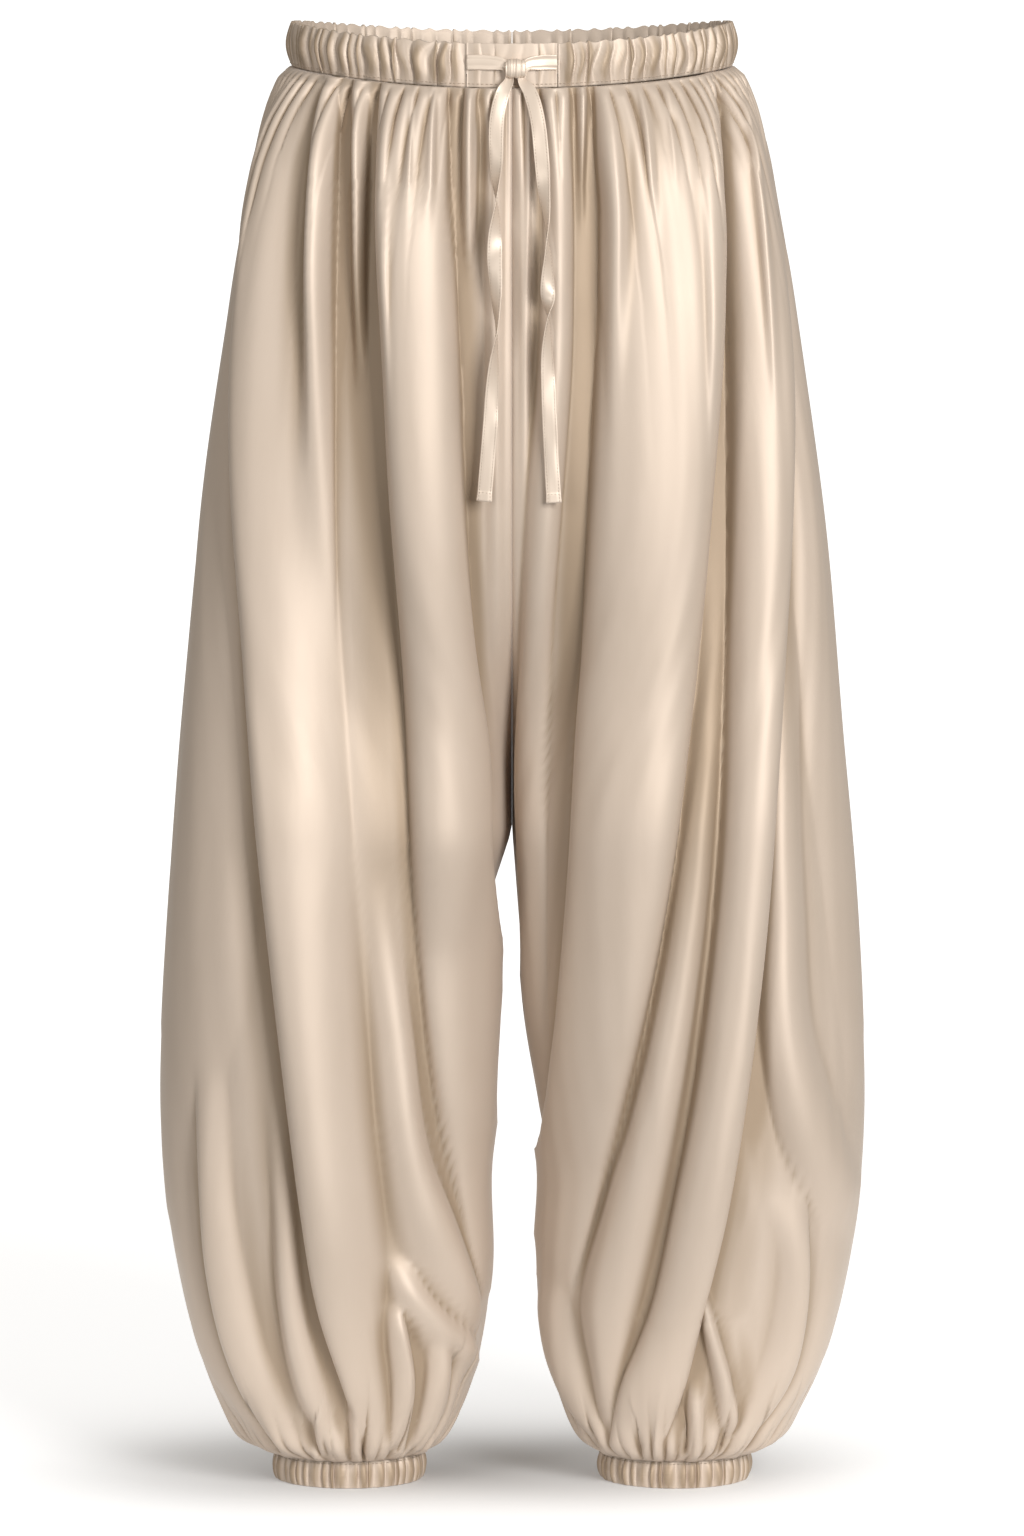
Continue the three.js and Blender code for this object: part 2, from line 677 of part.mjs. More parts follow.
// The knot: a rounded block, its sections swelling towards the middle.
function knot() {
  const rows = spread(8, -1, 1).map((t) => {
    const swell = 0.62 + 0.38 * Math.cos((Math.PI / 2) * t) ** 0.6;
    return Array.from({ length: 14 }, (_, i) => {
      const angle = (2 * Math.PI * i) / 14;
      const squared = (v) => Math.sign(v) * Math.abs(v) ** 0.7;
      return new THREE.Vector3(
        KNOT.x + t * KNOT.halfWidth,
        KNOT.y + KNOT.halfDepth * swell * squared(Math.cos(angle)),
        KNOT.z + KNOT.halfHeight * swell * squared(Math.sin(angle)),
      );
    });
  });
  return capped(rows);
}

const satin = new THREE.MeshStandardMaterial({ color: 0xcbb79f, roughness: 0.42, metalness: 0 });
const pieces = {
  waistband_front: waistFront(),
  waistband_left: waistCasing("left"),
  waistband_right: waistCasing("right"),
  front_left: panel("left", true),
  front_right: panel("right", true),
  back_left: panel("left", false),
  back_right: panel("right", false),
  cuff_left: cuff("left"),
  cuff_right: cuff("right"),
  tie_run_left: run("left"),
  tie_run_right: run("right"),
  tie_knot: knot(),
  tie_tail_left: tail("left"),
  tie_tail_right: tail("right"),
};

const trousers = new THREE.Group();
for (const [name, geometry] of Object.entries(pieces)) {
  const mesh = new THREE.Mesh(geometry, satin.clone());
  mesh.name = name;
  trousers.add(mesh);
}

export default trousers;
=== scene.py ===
import logging
import math
from collections.abc import Callable, Sequence
from dataclasses import dataclass, field
from enum import Enum
from typing import Any

import bpy
import numpy as np
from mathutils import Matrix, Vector


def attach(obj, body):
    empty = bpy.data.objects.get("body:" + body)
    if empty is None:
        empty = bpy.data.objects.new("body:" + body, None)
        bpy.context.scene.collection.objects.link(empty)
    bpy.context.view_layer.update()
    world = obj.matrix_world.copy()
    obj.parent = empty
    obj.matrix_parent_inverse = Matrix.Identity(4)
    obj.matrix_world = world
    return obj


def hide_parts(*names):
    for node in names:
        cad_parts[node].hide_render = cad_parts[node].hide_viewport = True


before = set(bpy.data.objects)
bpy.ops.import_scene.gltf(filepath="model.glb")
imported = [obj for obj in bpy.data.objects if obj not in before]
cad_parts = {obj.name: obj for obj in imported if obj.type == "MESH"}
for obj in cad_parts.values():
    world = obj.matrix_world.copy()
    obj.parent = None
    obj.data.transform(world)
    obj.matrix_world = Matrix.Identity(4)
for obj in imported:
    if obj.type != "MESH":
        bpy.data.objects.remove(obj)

Array = np.ndarray
Triple = tuple[float, float, float]  # a point or a colour
Piece = bpy.types.Object
Finish = bpy.types.Material
LOG = logging.getLogger("balloon_trousers")
MM = 0.001  # the sizes below are in millimetres, and Blender's are in metres
FLOOR = -0.9831  # the floor's height in metres
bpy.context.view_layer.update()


class Side(Enum):
    """The wearer's sides, with the sign of their X."""

    LEFT = 1
    RIGHT = -1

    @property
    def word(self) -> str:
        """The side's name, as in the CAD nodes' names."""
        return self.name.lower()


class Face(Enum):
    """The front and back of the trousers, with the sign of their Y."""

    FRONT = -1
    BACK = 1

    @property
    def word(self) -> str:
        """The face's name, as in the CAD nodes' names."""
        return self.name.lower()


# ---- curves, grids and meshes


def smooth(share: Array) -> Array:
    """An ease from 0 to 1: three times the square less twice the cube, held at both ends."""
    held = np.clip(share, 0.0, 1.0)
    return held * held * (3.0 - 2.0 * held)


def curve(at: Sequence[float], values: Sequence[float], where: Array) -> Array:
    """A smooth curve through points: cubic Hermite pieces, each slope taken from both neighbours.

    Args:
        at: The points' places, rising.
        values: The curve's value at each.
        where: The places asked for, held to the ends.

    Returns:
        The value at each place.
    """
    knots, heights = np.asarray(at, float), np.asarray(values, float)
    before, after = np.maximum(np.arange(len(knots)) - 1, 0), np.minimum(np.arange(len(knots)) + 1, len(knots) - 1)
    slopes = (heights[after] - heights[before]) / (knots[after] - knots[before])
    held = np.clip(where, knots[0], knots[-1])
    i = np.clip(np.searchsorted(knots, held, side="right") - 1, 0, len(knots) - 2)
    span = knots[i + 1] - knots[i]
    t = (held - knots[i]) / span
    start = (1 + 2 * t) * (1 - t) ** 2 * heights[i] + t * (1 - t) ** 2 * span * slopes[i]
    return start + t * t * (3 - 2 * t) * heights[i + 1] + t * t * (t - 1) * span * slopes[i + 1]


def hashed(index: Array, seed: float = 0.0) -> Array:
    """An even, repeatable scatter from 0 to 1: the fraction of a large multiple of a sine of the index."""
    value = np.sin(np.asarray(index, float) * 12.9898 + seed * 78.233 + 0.37) * 43758.5453
    return value - np.floor(value)


def ripple(x: Array, y: Array, seed: float, waves: int = 5) -> Array:
    """Soft, uneven noise: the mean of a few sines, each of its own direction, pitch and start."""
    total = np.zeros(np.broadcast(x, y).shape)
    for k in range(waves):
        turn, pitch, start = (float(hashed(k, seed + s)) for s in (1.0, 2.0, 3.0))
        total += np.sin((x * math.cos(3 * turn) + y * math.sin(3 * turn)) * (0.7 + 1.3 * pitch) + 40 * start)
    return total / waves


def hump(phase: Array, power: float) -> Array:
    """Rounded crests between sharp folds: the size of a sine that counts crests, to a power."""
    return np.abs(np.sin(np.pi * phase)) ** power


def squared(wave: Array, power: float) -> Array:
    """A wave with its sign kept and its size raised to a power: below 1, it fills a circle's corners."""
    return np.sign(wave) * np.abs(wave) ** power


def uneven(count: Array) -> Array:
    """A running count of gathers with uneven gaps: the count and two small sines of it."""
    return count + 0.22 * np.sin(1.7 * count) + 0.12 * np.sin(4.1 * count)


def unit(vectors: Array) -> Array:
    """The vectors along the last axis, each divided by its length."""
    return vectors / np.linalg.norm(vectors, axis=-1, keepdims=True)


def running_length(line: Array) -> Array:
    """The distance of each point of a line from its start: the running sum of the steps."""
    return np.concatenate([[0.0], np.cumsum(np.linalg.norm(np.diff(line, axis=0), axis=1))])


def read_line(line: Array, run: Array, at: Array) -> Array:
    """Points of a line at given distances along it, straight between its own points."""
    return np.stack([np.interp(at, run, line[:, k]) for k in range(3)], axis=-1)


def grid_faces(rows: int, columns: int, closed_rows: bool = False, closed_columns: bool = False) -> Array:
    """The quads of a grid of vertices that are numbered row by row.

    Args:
        rows: How many rows of vertices there are.
        columns: How many vertices a row has.
        closed_rows: Whether the last row joins the first.
        closed_columns: Whether each row's last vertex joins its first.

    Returns:
        Four vertex numbers for each quad.
    """
    down = np.arange(rows if closed_rows else rows - 1)[:, None]
    across = np.arange(columns if closed_columns else columns - 1)[None, :]
    below, beside = (down + 1) % rows, (across + 1) % columns
    quad = [down * columns + across, down * columns + beside, below * columns + beside, below * columns + across]
    return np.stack(np.broadcast_arrays(*quad), axis=-1).reshape(-1, 4)


def end_caps(rings: int, around: int) -> list[list[int]]:
    """The two end faces of a tube of rings."""
    return [list(range(around))[::-1], list(range((rings - 1) * around, rings * around))]


def make_piece(
    name: str, points: Array, faces: Array, uv: Array | None = None, extra: Sequence[list[int]] = ()
) -> Piece:
    """A mesh object at the origin from whole arrays, smooth shaded.

    Args:
        name: The piece's name.
        points: Its vertices in millimetres, in the row frame.
        faces: Its quads.
        uv: A place on the cloth for each vertex, in metres.
        extra: Further faces, such as end caps.

    Returns:
        The object, linked to the scene.
    """
    mesh = bpy.data.meshes.new(name)
    mesh.from_pydata((points.reshape(-1, 3) * MM).tolist(), [], faces.tolist() + [list(face) for face in extra])
    mesh.update()
    mesh.polygons.foreach_set("use_smooth", np.ones(len(mesh.polygons), bool))
    if uv is not None:
        corners = np.empty(len(mesh.loops), np.int32)
        mesh.loops.foreach_get("vertex_index", corners)
        mesh.uv_layers.new(name="cloth").data.foreach_set("uv", uv.reshape(-1, 2)[corners].astype(np.float32).ravel())
    piece = bpy.data.objects.new(name, mesh)
    bpy.context.scene.collection.objects.link(piece)
    return piece


def dress(piece: Piece, finish: Finish, *nodes: str) -> None:
    """Gives a piece its finish, ties it to the body and logs it.

    Args:
        piece: The piece.
        finish: Its material.
        nodes: The CAD nodes that it stands for, all of satin. Stitches stand for none.
    """
    piece.data.materials.append(finish)
    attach(piece, "root")
    if nodes:
        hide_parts(*nodes)
    LOG.info("%s: %d faces", piece.name, len(piece.data.polygons))


def mark_painted_groove_shade(
    piece: Piece, points: Array, steps: Sequence[int], full: float, closed: bool = False
) -> None:
    """Stores how deep each point lies in a groove, from 0 to 1, as the mask of the satin's painted shade in the
    grooves.

    The depth is how far the middle of two neighbours in the row, some columns to either side, stands out
    beyond the point. It is divided by half their distance, and the largest share of the steps is kept.

    Args:
        piece: The piece, with a point for each of the grid's.
        points: The grid of its points.
        steps: How many columns away the neighbours lie.
        full: The share that counts as 1.
        closed: Whether a row is a ring.
    """
    count = points.shape[1]
    at = np.arange(count)

    def beside(step: int) -> tuple[Array, Array]:
        """The columns that many steps ahead and behind."""
        if closed:
            return (at + step) % count, (at - step) % count
        return np.minimum(at + step, count - 1), np.maximum(at - step, 0)

    normals = np.empty(points.size)
    piece.data.vertex_normals.foreach_get("vector", normals)
    normals = normals.reshape(points.shape)
    broad = normals + sum(normals[:, columns] for step in steps for columns in beside(step))
    broad = broad / (np.linalg.norm(broad, axis=2, keepdims=True) + 1e-9)
    hollow = np.zeros(points.shape[:2])
    for step in steps:
        ahead, behind = beside(step)
        apart = np.linalg.norm(points[:, ahead] - points[:, behind], axis=2) / 2 + 1e-6
        depth = np.sum(((points[:, ahead] + points[:, behind]) / 2 - points) * broad, axis=2)
        hollow = np.maximum(hollow, depth / apart)
    # the groove depths become the mask of the painted groove shade
    layer = piece.data.attributes.new("hollow", "FLOAT", "POINT")
    layer.data.foreach_set("value", smooth(hollow / full).astype(np.float32).ravel())


def arc_lengths(points: Array, axis: int) -> Array:
    """The distance along a grid's rows or columns from their start: the running sum of the steps."""
    steps = np.linalg.norm(np.diff(points, axis=axis), axis=2)
    lead = [(1, 0), (0, 0)] if axis == 0 else [(0, 0), (1, 0)]
    return np.cumsum(np.pad(steps, lead), axis=axis)


def casing_section(ring: int, climb: float) -> tuple[Array, Array]:
    """The cross-section of a casing: up the outside, over the top, down the inside and back under.

    Args:
        ring: How many points it has.
        climb: The outside's share of it, and the inside's.

    Returns:
        The share of the height at each point, and whether the point is outside, from 0 to 1.
    """
    turn = np.linspace(0, 1, ring, endpoint=False)
    share = np.where(turn < climb + 0.04, smooth((turn - 0.02) / climb), 1 - smooth((turn - climb - 0.10) / climb))
    return share, smooth((0.5 - turn) / 0.06) * smooth(turn / 0.03)


@dataclass
class Sewing:
    """Rows of machine stitches that lie on the cloth: short rounded lengths of thread, sunk at both ends."""

    pitch: float = 3.0
    length: float = 2.3
    radius: float = 0.3
    rings: int = 6
    around: int = 6
    unevenness: float = 0.12  # of the pitch
    lift: float = 0.75  # of the radius, at a stitch's middle

    def lay(self, line: Array, outward: Array, closed: bool = False) -> Array:
        """One row of stitches along a line.

        A stitch is a tube along the line. Its radius is the root of one minus the square of the way
        from its middle, and its ends dip into the cloth by the radius.

        Args:
            line: Points on the cloth, in order.
            outward: The way off the cloth at each point.
            closed: Whether the line joins its start.

        Returns:
            The points, by stitch, ring and place round the ring.
        """
        if closed:
            line, outward = np.vstack([line, line[:1]]), np.vstack([outward, outward[:1]])
        run = running_length(line)
        count = max(int(run[-1] / self.pitch), 1)
        number = np.arange(count)
        middles = (number + 0.5 + self.unevenness * (hashed(number, 31.0) - 0.5)) * run[-1] / count
        share = np.linspace(-1, 1, self.rings)
        at = middles[:, None] + share[None, :] * self.length / 2
        place = read_line(line, run, at)
        off = unit(read_line(outward, run, at))
        beside = np.cross(unit(np.gradient(place, axis=1)), off)
        round_end = self.radius * np.sqrt(np.maximum(1.04 - share**2, 0.02))
        turn = np.linspace(0, 2 * np.pi, self.around, endpoint=False)
        place = place + off * (self.radius * (self.lift - share**2))[None, :, None]
        spoke = off[:, :, None] * np.cos(turn)[:, None] + beside[:, :, None] * np.sin(turn)[:, None]
        return place[:, :, None] + spoke * round_end[None, :, None, None]

    def sew(self, name: str, rows: Sequence[Array], finish: Finish) -> None:
        """Makes one piece from all the rows of a seam.

        Args:
            name: The piece's name.
            rows: The rows' stitches.
            finish: The thread.
        """
        points = np.concatenate(rows)
        each = self.rings * self.around
        quads = grid_faces(self.rings, self.around, closed_columns=True)
        faces = (quads[None] + (np.arange(len(points)) * each)[:, None, None]).reshape(-1, 4)
        dress(make_piece(name, points, faces), finish)


# ---- the trousers' form, as in the solids but with more folds


@dataclass(frozen=True)
class Waist:
    """The waist's oval casing. angle is measured from the middle of the front."""

    half_width: float = 147.5
    half_depth: float = 94.5
    height: float = 29.5
    middle: float = 9.2
    front_dip: float = -2.1
    side_lift: float = -5.1

    def top(self, angle: Array) -> Array:
        """The top edge's height: a middle height, less a dip that is deeper at the front and back."""
        return self.middle + self.front_dip * np.cos(angle) + self.side_lift * np.cos(2 * angle)

    def seam(self, angle: Array) -> Array:
        """The height of the seam under the casing."""
        return self.top(angle) - self.height

    def oval(self, angle: Array, out: Array, z: Array) -> Array:
        """Points round the oval: its half sizes plus out, times the angle's sine and cosine."""
        x = (self.half_width + out) * np.sin(angle)
        y = -(self.half_depth + out) * np.cos(angle)
        return np.stack(np.broadcast_arrays(x, y, z), axis=-1)


@dataclass(frozen=True)
class Fold:
    """One pleat or crease that runs down a panel.

    Each station is (height, near, far, rise): the folds' two edges as distances from the middle seen
    from the front, and how far its crest stands off the section. crest is the crest's share of the way
    from the near edge to the far one. The edges' powers are low for a sharp edge. lean pushes the
    fold's top sideways over its far edge, or over its near one if it is negative.
    """

    stations: tuple[tuple[float, float, float, float], ...]
    crest: float = 0.5
    near_power: float = 1.5
    far_power: float = 1.5
    lean: float = 0.0


FRONT_FOLDS: dict[Side, tuple[Fold, ...]] = {
    Side.RIGHT: (
        Fold(  # wide pleat, sharp on its outer side
            ((-24, 118, 152, 5), (-55, 116, 162, 15), (-100, 117, 168, 22), (-140, 117, 171, 25),
             (-210, 118, 175.5, 26),
             (-300, 118, 176, 26), (-400, 114, 172, 25), (-500, 108, 167, 24), (-600, 102, 159, 24),
             (-700, 94, 149, 24),
             (-780, 86, 140, 23), (-850, 83, 129.5, 19), (-910, 82, 113, 12), (-958, 86, 100, 4)),
            crest=0.74, near_power=1.3, far_power=0.38, lean=0.3,
        ),
        Fold(  # its inner lip at the top
            ((-24, 114, 127, 5), (-60, 115, 132, 17), (-100, 116, 134, 23), (-150, 117, 136, 25),
             (-210, 118, 138, 20), (-330, 118, 146, 9), (-470, 114, 148, 0)),
            crest=0.45, near_power=0.6,
        ),
        Fold(  # its outer lip at the top
            ((-24, 146, 152, 4), (-55, 146, 160, 13), (-100, 150, 166, 19), (-150, 153, 170, 20),
             (-240, 156, 176, 8), (-330, 158, 176, 0)),
            crest=0.55, near_power=1.4, far_power=0.7,
        ),
        Fold(((-24, 94, 107, 5), (-60, 94, 107, 12), (-110, 95, 107, 12), (-160, 96, 107, 9), (-230, 97, 106, 0))),
              # rib in the valley
        Fold(  # middle pleat, sharp on both sides
            ((-24, 43, 87, 5), (-55, 41.5, 88, 15), (-100, 40.5, 88.5, 23), (-140, 37.7, 87.4, 27),
             (-210, 34.3, 84, 29),
             (-300, 31, 79.6, 30), (-400, 25.7, 74.5, 29), (-500, 20, 70, 26), (-600, 20, 65, 22),
             (-690, 20, 56, 17), (-770, 18, 40, 10), (-850, 14, 22, 2)),
            crest=0.55, near_power=0.38, far_power=0.42, lean=0.16,
        ),
        Fold(  # its outer ridge at the top
            ((-24, 70, 87, 5), (-60, 67, 88.5, 17), (-110, 66, 89, 24), (-170, 66, 87, 26), (-320, 62, 80, 8),
             (-430, 58, 74, 0)),
            crest=0.55, near_power=1.4, far_power=0.7,
        ),
        Fold(((-24, 58, 66, 5), (-50, 58, 67, 14), (-90, 57, 67, 17), (-140, 57, 66, 6))),
        Fold(((-24, 46, 56, 5), (-50, 45, 56, 14), (-90, 44, 56, 17), (-130, 42, 55, 6))),
        Fold(((-24, 21, 33, 5), (-60, 21, 34, 11), (-100, 22, 34, 9), (-150, 24, 33, 0))),  # rib beside the tie
        Fold(((-24, 4, 19, 3), (-80, 3, 20, 4), (-180, 2, 19, 5), (-300, 2, 18, 3), (-450, 1, 16, 0))),
              # by the centre seam
        Fold(  # broad roll towards the outseam
            ((-24, 150, 166, 3), (-80, 166, 190, 6), (-170, 176, 204, 9), (-300, 178, 219, 11), (-450, 172, 232, 12),
             (-600, 170, 239, 12), (-680, 188, 240, 9), (-760, 214, 240, 3)),
            near_power=1.2, far_power=1.2,
        ),
        Fold(  # ridge left of the wide pleat at the ankle, with a sharp line
            ((-660, 195, 216, 0), (-720, 190, 213, 8), (-780, 186, 208, 14), (-830, 178, 203, 17),
             (-880, 166, 193, 17), (-920, 152, 180, 12), (-960, 143, 157, 4)),
            crest=0.7, far_power=0.7, lean=0.1,
        ),
        Fold(((-700, 216, 240, 0), (-770, 213, 240, 7), (-840, 205, 226, 9), (-900, 188, 211, 8),
             (-958, 158, 168, 3)), crest=0.4),
        Fold(  # ridge in the big valley
            ((-700, 150, 168, 0), (-780, 144, 164, 5), (-850, 138, 160, 9), (-910, 124, 149, 9),
             (-960, 112, 124, 4)), crest=0.6,
        ),
        Fold(  # long swag along the diagonal valley
            ((-560, 80, 100, 0), (-660, 66, 96, 8), (-740, 56, 92, 13), (-800, 36, 82, 16), (-850, 22, 56, 9),
             (-880, 20, 40, 0)),
            crest=0.45, near_power=1.4,
        ),
        Fold(  # hooked swag above the ankle
            ((-815, 66, 86, 0), (-845, 52, 84, 10), (-872, 30, 70, 12), (-900, 22, 44, 4), (-915, 24, 38, 0)),
             near_power=1.3, far_power=1.2,
        ),
        Fold(((-840, 76, 86, 0), (-870, 70, 88, 11), (-910, 66, 84, 10), (-960, 74, 84, 4)),
             crest=0.4, far_power=0.8),
        Fold(((-850, 46, 60, 0), (-890, 42, 60, 10), (-925, 46, 64, 9), (-960, 60, 70, 4)),
             near_power=1.2, far_power=1.0),
        Fold(((-890, 100, 112, 0), (-925, 99, 113, 8), (-960, 101, 110, 4))),
        Fold(((-900, 128, 140, 0), (-930, 124, 138, 8), (-960, 126, 136, 4))),
    ),
    Side.LEFT: (
        Fold(  # broad pleat, sharp on both sides
            ((-24, 54, 134, 5), (-55, 54, 136, 16), (-100, 56.5, 136, 24), (-140, 58, 136.3, 28), (-210, 55, 135, 31),
             (-300, 50.7, 130, 32), (-400, 47, 123.4, 31), (-500, 43, 114, 28), (-600, 37.7, 100, 24),
             (-700, 30, 80, 19), (-780, 22, 60, 12), (-840, 18, 42, 3)),
            crest=0.56, near_power=0.36, far_power=0.4, lean=0.2,
        ),
        Fold(  # its inner lip at the top
            ((-24, 54, 71, 5), (-60, 54, 75, 18), (-110, 57, 76, 25), (-170, 57, 74, 22), (-320, 53, 68, 6),
             (-430, 48, 62, 0)), crest=0.42, near_power=0.6, far_power=1.3,
        ),
        Fold(((-24, 76, 88, 5), (-50, 77, 89, 16), (-90, 78, 90, 20), (-150, 80, 90, 8))),
        Fold(  # its outer lip at the top
            ((-24, 106, 133, 5), (-55, 104, 135, 17), (-110, 103, 136, 26), (-200, 106, 135, 30),
             (-330, 110, 130, 14), (-450, 106, 122, 0)), near_power=1.4, far_power=0.6,
        ),
        Fold(((-24, 92, 104, 5), (-50, 92, 103, 14), (-100, 93, 102, 12), (-150, 94, 102, 0))),
        Fold(  # long pleat, sharp on both sides, down to the ankle
            ((-24, 139, 155, 5), (-55, 139, 161, 14), (-100, 139, 168, 20), (-140, 140, 173, 23),
             (-210, 142.5, 177, 26), (-300, 143.5, 177, 28),
             (-400, 142.8, 174.8, 27), (-500, 140.5, 170.7, 25), (-600, 133.6, 165, 24), (-700, 122, 155, 24),
             (-780, 108, 144, 22),
             (-850, 93.5, 129, 19), (-910, 73, 116, 12), (-958, 68, 100, 4)),
            near_power=0.42, far_power=0.38, lean=0.25,
        ),
        Fold(  # its middle rib at the top
            ((-24, 143, 150, 5), (-60, 144, 153, 17), (-110, 146, 156, 23), (-200, 150, 162, 22),
             (-300, 152, 168, 8), (-400, 154, 168, 0)),
        ),
        Fold(  # broad roll towards the outseam
            ((-24, 154, 164, 3), (-90, 176, 190, 5), (-170, 186, 206, 7), (-300, 188, 224, 10), (-420, 192, 234, 11),
             (-560, 208, 240, 9), (-700, 226, 240, 4)),
            near_power=1.2, far_power=1.2,
        ),
        Fold(  # ridge outside the long pleat at the knee
            ((-380, 180, 196, 0), (-480, 174, 196, 6), (-580, 168, 200, 11), (-660, 166, 206, 14),
             (-730, 178, 226, 15), (-780, 200, 240, 11), (-810, 214, 240, 3)),
            crest=0.4, near_power=0.9,
        ),
        Fold(  # ridge at the ankle with a lit line
            ((-770, 168, 200, 0), (-820, 178, 200, 10), (-870, 172, 196, 14), (-910, 160, 186, 12),
             (-960, 140, 154, 4)), crest=0.75, far_power=0.8,
        ),
        Fold(((-790, 206, 236, 0), (-850, 204, 226, 8), (-905, 190, 210, 8), (-958, 157, 168, 3)), crest=0.4),
        Fold(  # rib between the broad and the long pleat
            ((-330, 128, 142, 0), (-430, 123, 141, 2), (-500, 116, 138, 5), (-600, 101, 130, 11),
             (-700, 82, 118, 15), (-780, 62, 104, 15), (-850, 46, 88, 12), (-905, 54, 74, 5), (-930, 58, 72, 2)),
            crest=0.55, near_power=1.3, far_power=0.8,
        ),
        Fold(  # fold beside the tie
            ((-24, 18, 38, 5), (-80, 18, 40.5, 9), (-140, 18, 41, 10), (-210, 16, 40, 10), (-300, 8, 34, 10),
             (-400, 4, 27, 9),
             (-500, 3, 24, 9), (-600, 6, 24, 6), (-700, 10, 25, 4), (-790, 14, 26, 0)),
            crest=0.55, near_power=1.2, far_power=0.8,
        ),
        Fold(((-24, 42, 50, 5), (-60, 42, 50, 6), (-100, 43, 49, 2), (-120, 43, 49, 0))),
        Fold(((-24, 4, 16, 3), (-80, 2, 14, 4), (-200, 2, 13, 4), (-300, 1, 12, 2), (-380, 1, 10, 0))),
              # by the centre seam
        Fold(((-815, 118, 130, 0), (-850, 124, 136, 8), (-895, 134, 148, 11), (-930, 140, 154, 8),
             (-945, 142, 152, 0)), near_power=0.8, far_power=1.4),
        Fold(((-820, 18, 34, 0), (-870, 20, 44, 8), (-920, 34, 56, 9), (-960, 62, 74, 4)),
             near_power=1.3, far_power=0.9),
        Fold(((-880, 96, 110, 0), (-915, 94, 108, 9), (-960, 94, 104, 4))),
        Fold(((-880, 78, 90, 0), (-920, 76, 90, 8), (-960, 80, 90, 4))),
        Fold(((-900, 118, 130, 0), (-930, 117, 131, 8), (-960, 118, 128, 4))),
    ),
}

# The hidden side, with pleats like the front's. Both legs use the list, set apart by BACK_SHIFT.
BACK_SHIFT: dict[Side, float] = {Side.LEFT: 0.0, Side.RIGHT: 7.0}
BACK_FOLDS: tuple[Fold, ...] = (
    Fold(((-24, 6, 22, 4), (-100, 7, 27, 10), (-220, 6, 28, 10), (-330, 4, 24, 6), (-440, 3, 20, 0))),
    Fold(((-24, 30, 52, 5), (-70, 28, 62, 15), (-140, 28, 70, 22), (-300, 30, 74, 24), (-450, 26, 70, 22),
         (-600, 28, 66, 17), (-740, 32, 60, 11), (-860, 28, 44, 2)),
         near_power=0.7, far_power=0.6, lean=0.06),
    Fold(((-24, 54, 64, 5), (-60, 54, 66, 13), (-120, 56, 66, 13), (-200, 58, 68, 0))),
    Fold(((-24, 70, 83, 5), (-70, 72, 92, 16), (-150, 75, 96, 22), (-290, 79, 98, 6), (-380, 80, 98, 0)),
         near_power=0.8),
    Fold(((-24, 88, 104, 5), (-70, 84, 118, 16), (-150, 82, 132, 23), (-300, 80, 130, 25), (-450, 78, 128, 24),
         (-600, 80, 124, 22), (-740, 76, 116, 20), (-850, 70, 104, 15), (-910, 72, 100, 10), (-958, 78, 94, 4)),
         crest=0.52, near_power=0.6, far_power=0.6),
    Fold(((-24, 107, 118, 5), (-70, 116, 134, 13), (-150, 124, 140, 15), (-250, 128, 144, 0))),
    Fold(((-24, 121, 134, 5), (-70, 134, 158, 14), (-150, 140, 176, 20), (-300, 142, 182, 22), (-450, 140, 184, 21),
         (-600, 138, 180, 19), (-740, 130, 170, 18), (-850, 118, 150, 15), (-910, 108, 136, 10), (-958, 106, 124, 4)),
         crest=0.48, near_power=0.6, far_power=0.8, lean=-0.06),
    Fold(((-24, 138, 147, 4), (-90, 164, 182, 9), (-200, 176, 204, 11), (-350, 184, 222, 12), (-520, 188, 234, 12),
         (-680, 196, 239, 9), (-780, 210, 239, 3)), near_power=1.2, far_power=1.2),
    Fold(((-720, 180, 214, 0), (-790, 178, 208, 10), (-860, 164, 194, 13), (-915, 150, 176, 11),
         (-960, 136, 150, 4)), crest=0.55, near_power=1.0, far_power=0.9),
    Fold(((-590, 72, 90, 0), (-680, 60, 86, 8), (-770, 42, 78, 12), (-840, 24, 58, 8), (-880, 22, 40, 0)),
         near_power=1.0),
    Fold(((-840, 34, 48, 0), (-890, 36, 54, 9), (-925, 44, 62, 8), (-960, 62, 74, 4))),
    Fold(((-780, 206, 230, 0), (-850, 200, 222, 8), (-905, 184, 206, 8), (-958, 156, 166, 3))),
)


@dataclass(frozen=True)
class Gathers:
    """Small gathers beside a seam: rounded upright waves, unevenly spaced, high and long, that fade away from it."""

    count: float  # how many go round one leg
    rise: float
    sunk: float  # the share of a wave that lies under the section
    roundness: float
    wander: float  # how far they stray from even places, in waves
    wander_pitch: float
    reach: float
    reaches: Triple  # the shortest share of the reach, what chance adds, and the chance's power
    sizes: tuple[float, float]  # the smallest share of the rise, and what chance adds
    fade: float
    seam_share: float  # how much of a wave there is at the seam, and how soon it is whole
    whole_at: float
    seed: float
    alike: bool = True  # whether the two legs' waves have the same sizes

    def lift(self, side: Side, place: Array, away: Array, sway: Array | float = 0.0) -> Array:
        """How far the waves lift the cloth.

        A wave is a hump less its sunk share. It fades by the exponential of minus a power of the
        distance over its own reach, and is eased in beside the seam.

        Args:
            side: The leg.
            place: Places round the leg.
            away: Distances from the seam.
            sway: How far the waves swing to the side, in waves.

        Returns:
            The lift in millimetres.
        """
        phase = self.count * place + self.wander * np.sin(self.wander_pitch * place + side.value) + sway
        number = np.floor(phase)
        shortest, longer, power = self.reaches
        reach = self.reach * (shortest + longer * hashed(number, self.seed + side.value) ** power)
        smallest, larger = self.sizes
        size = smallest + larger * hashed(number, self.seed + 1.0 + (0.0 if self.alike else side.value))
        fade = np.exp(-((away / reach) ** self.fade)) * smooth(self.seam_share + away / self.whole_at)
        return self.rise * size * (hump(phase, self.roundness) - self.sunk) * fade


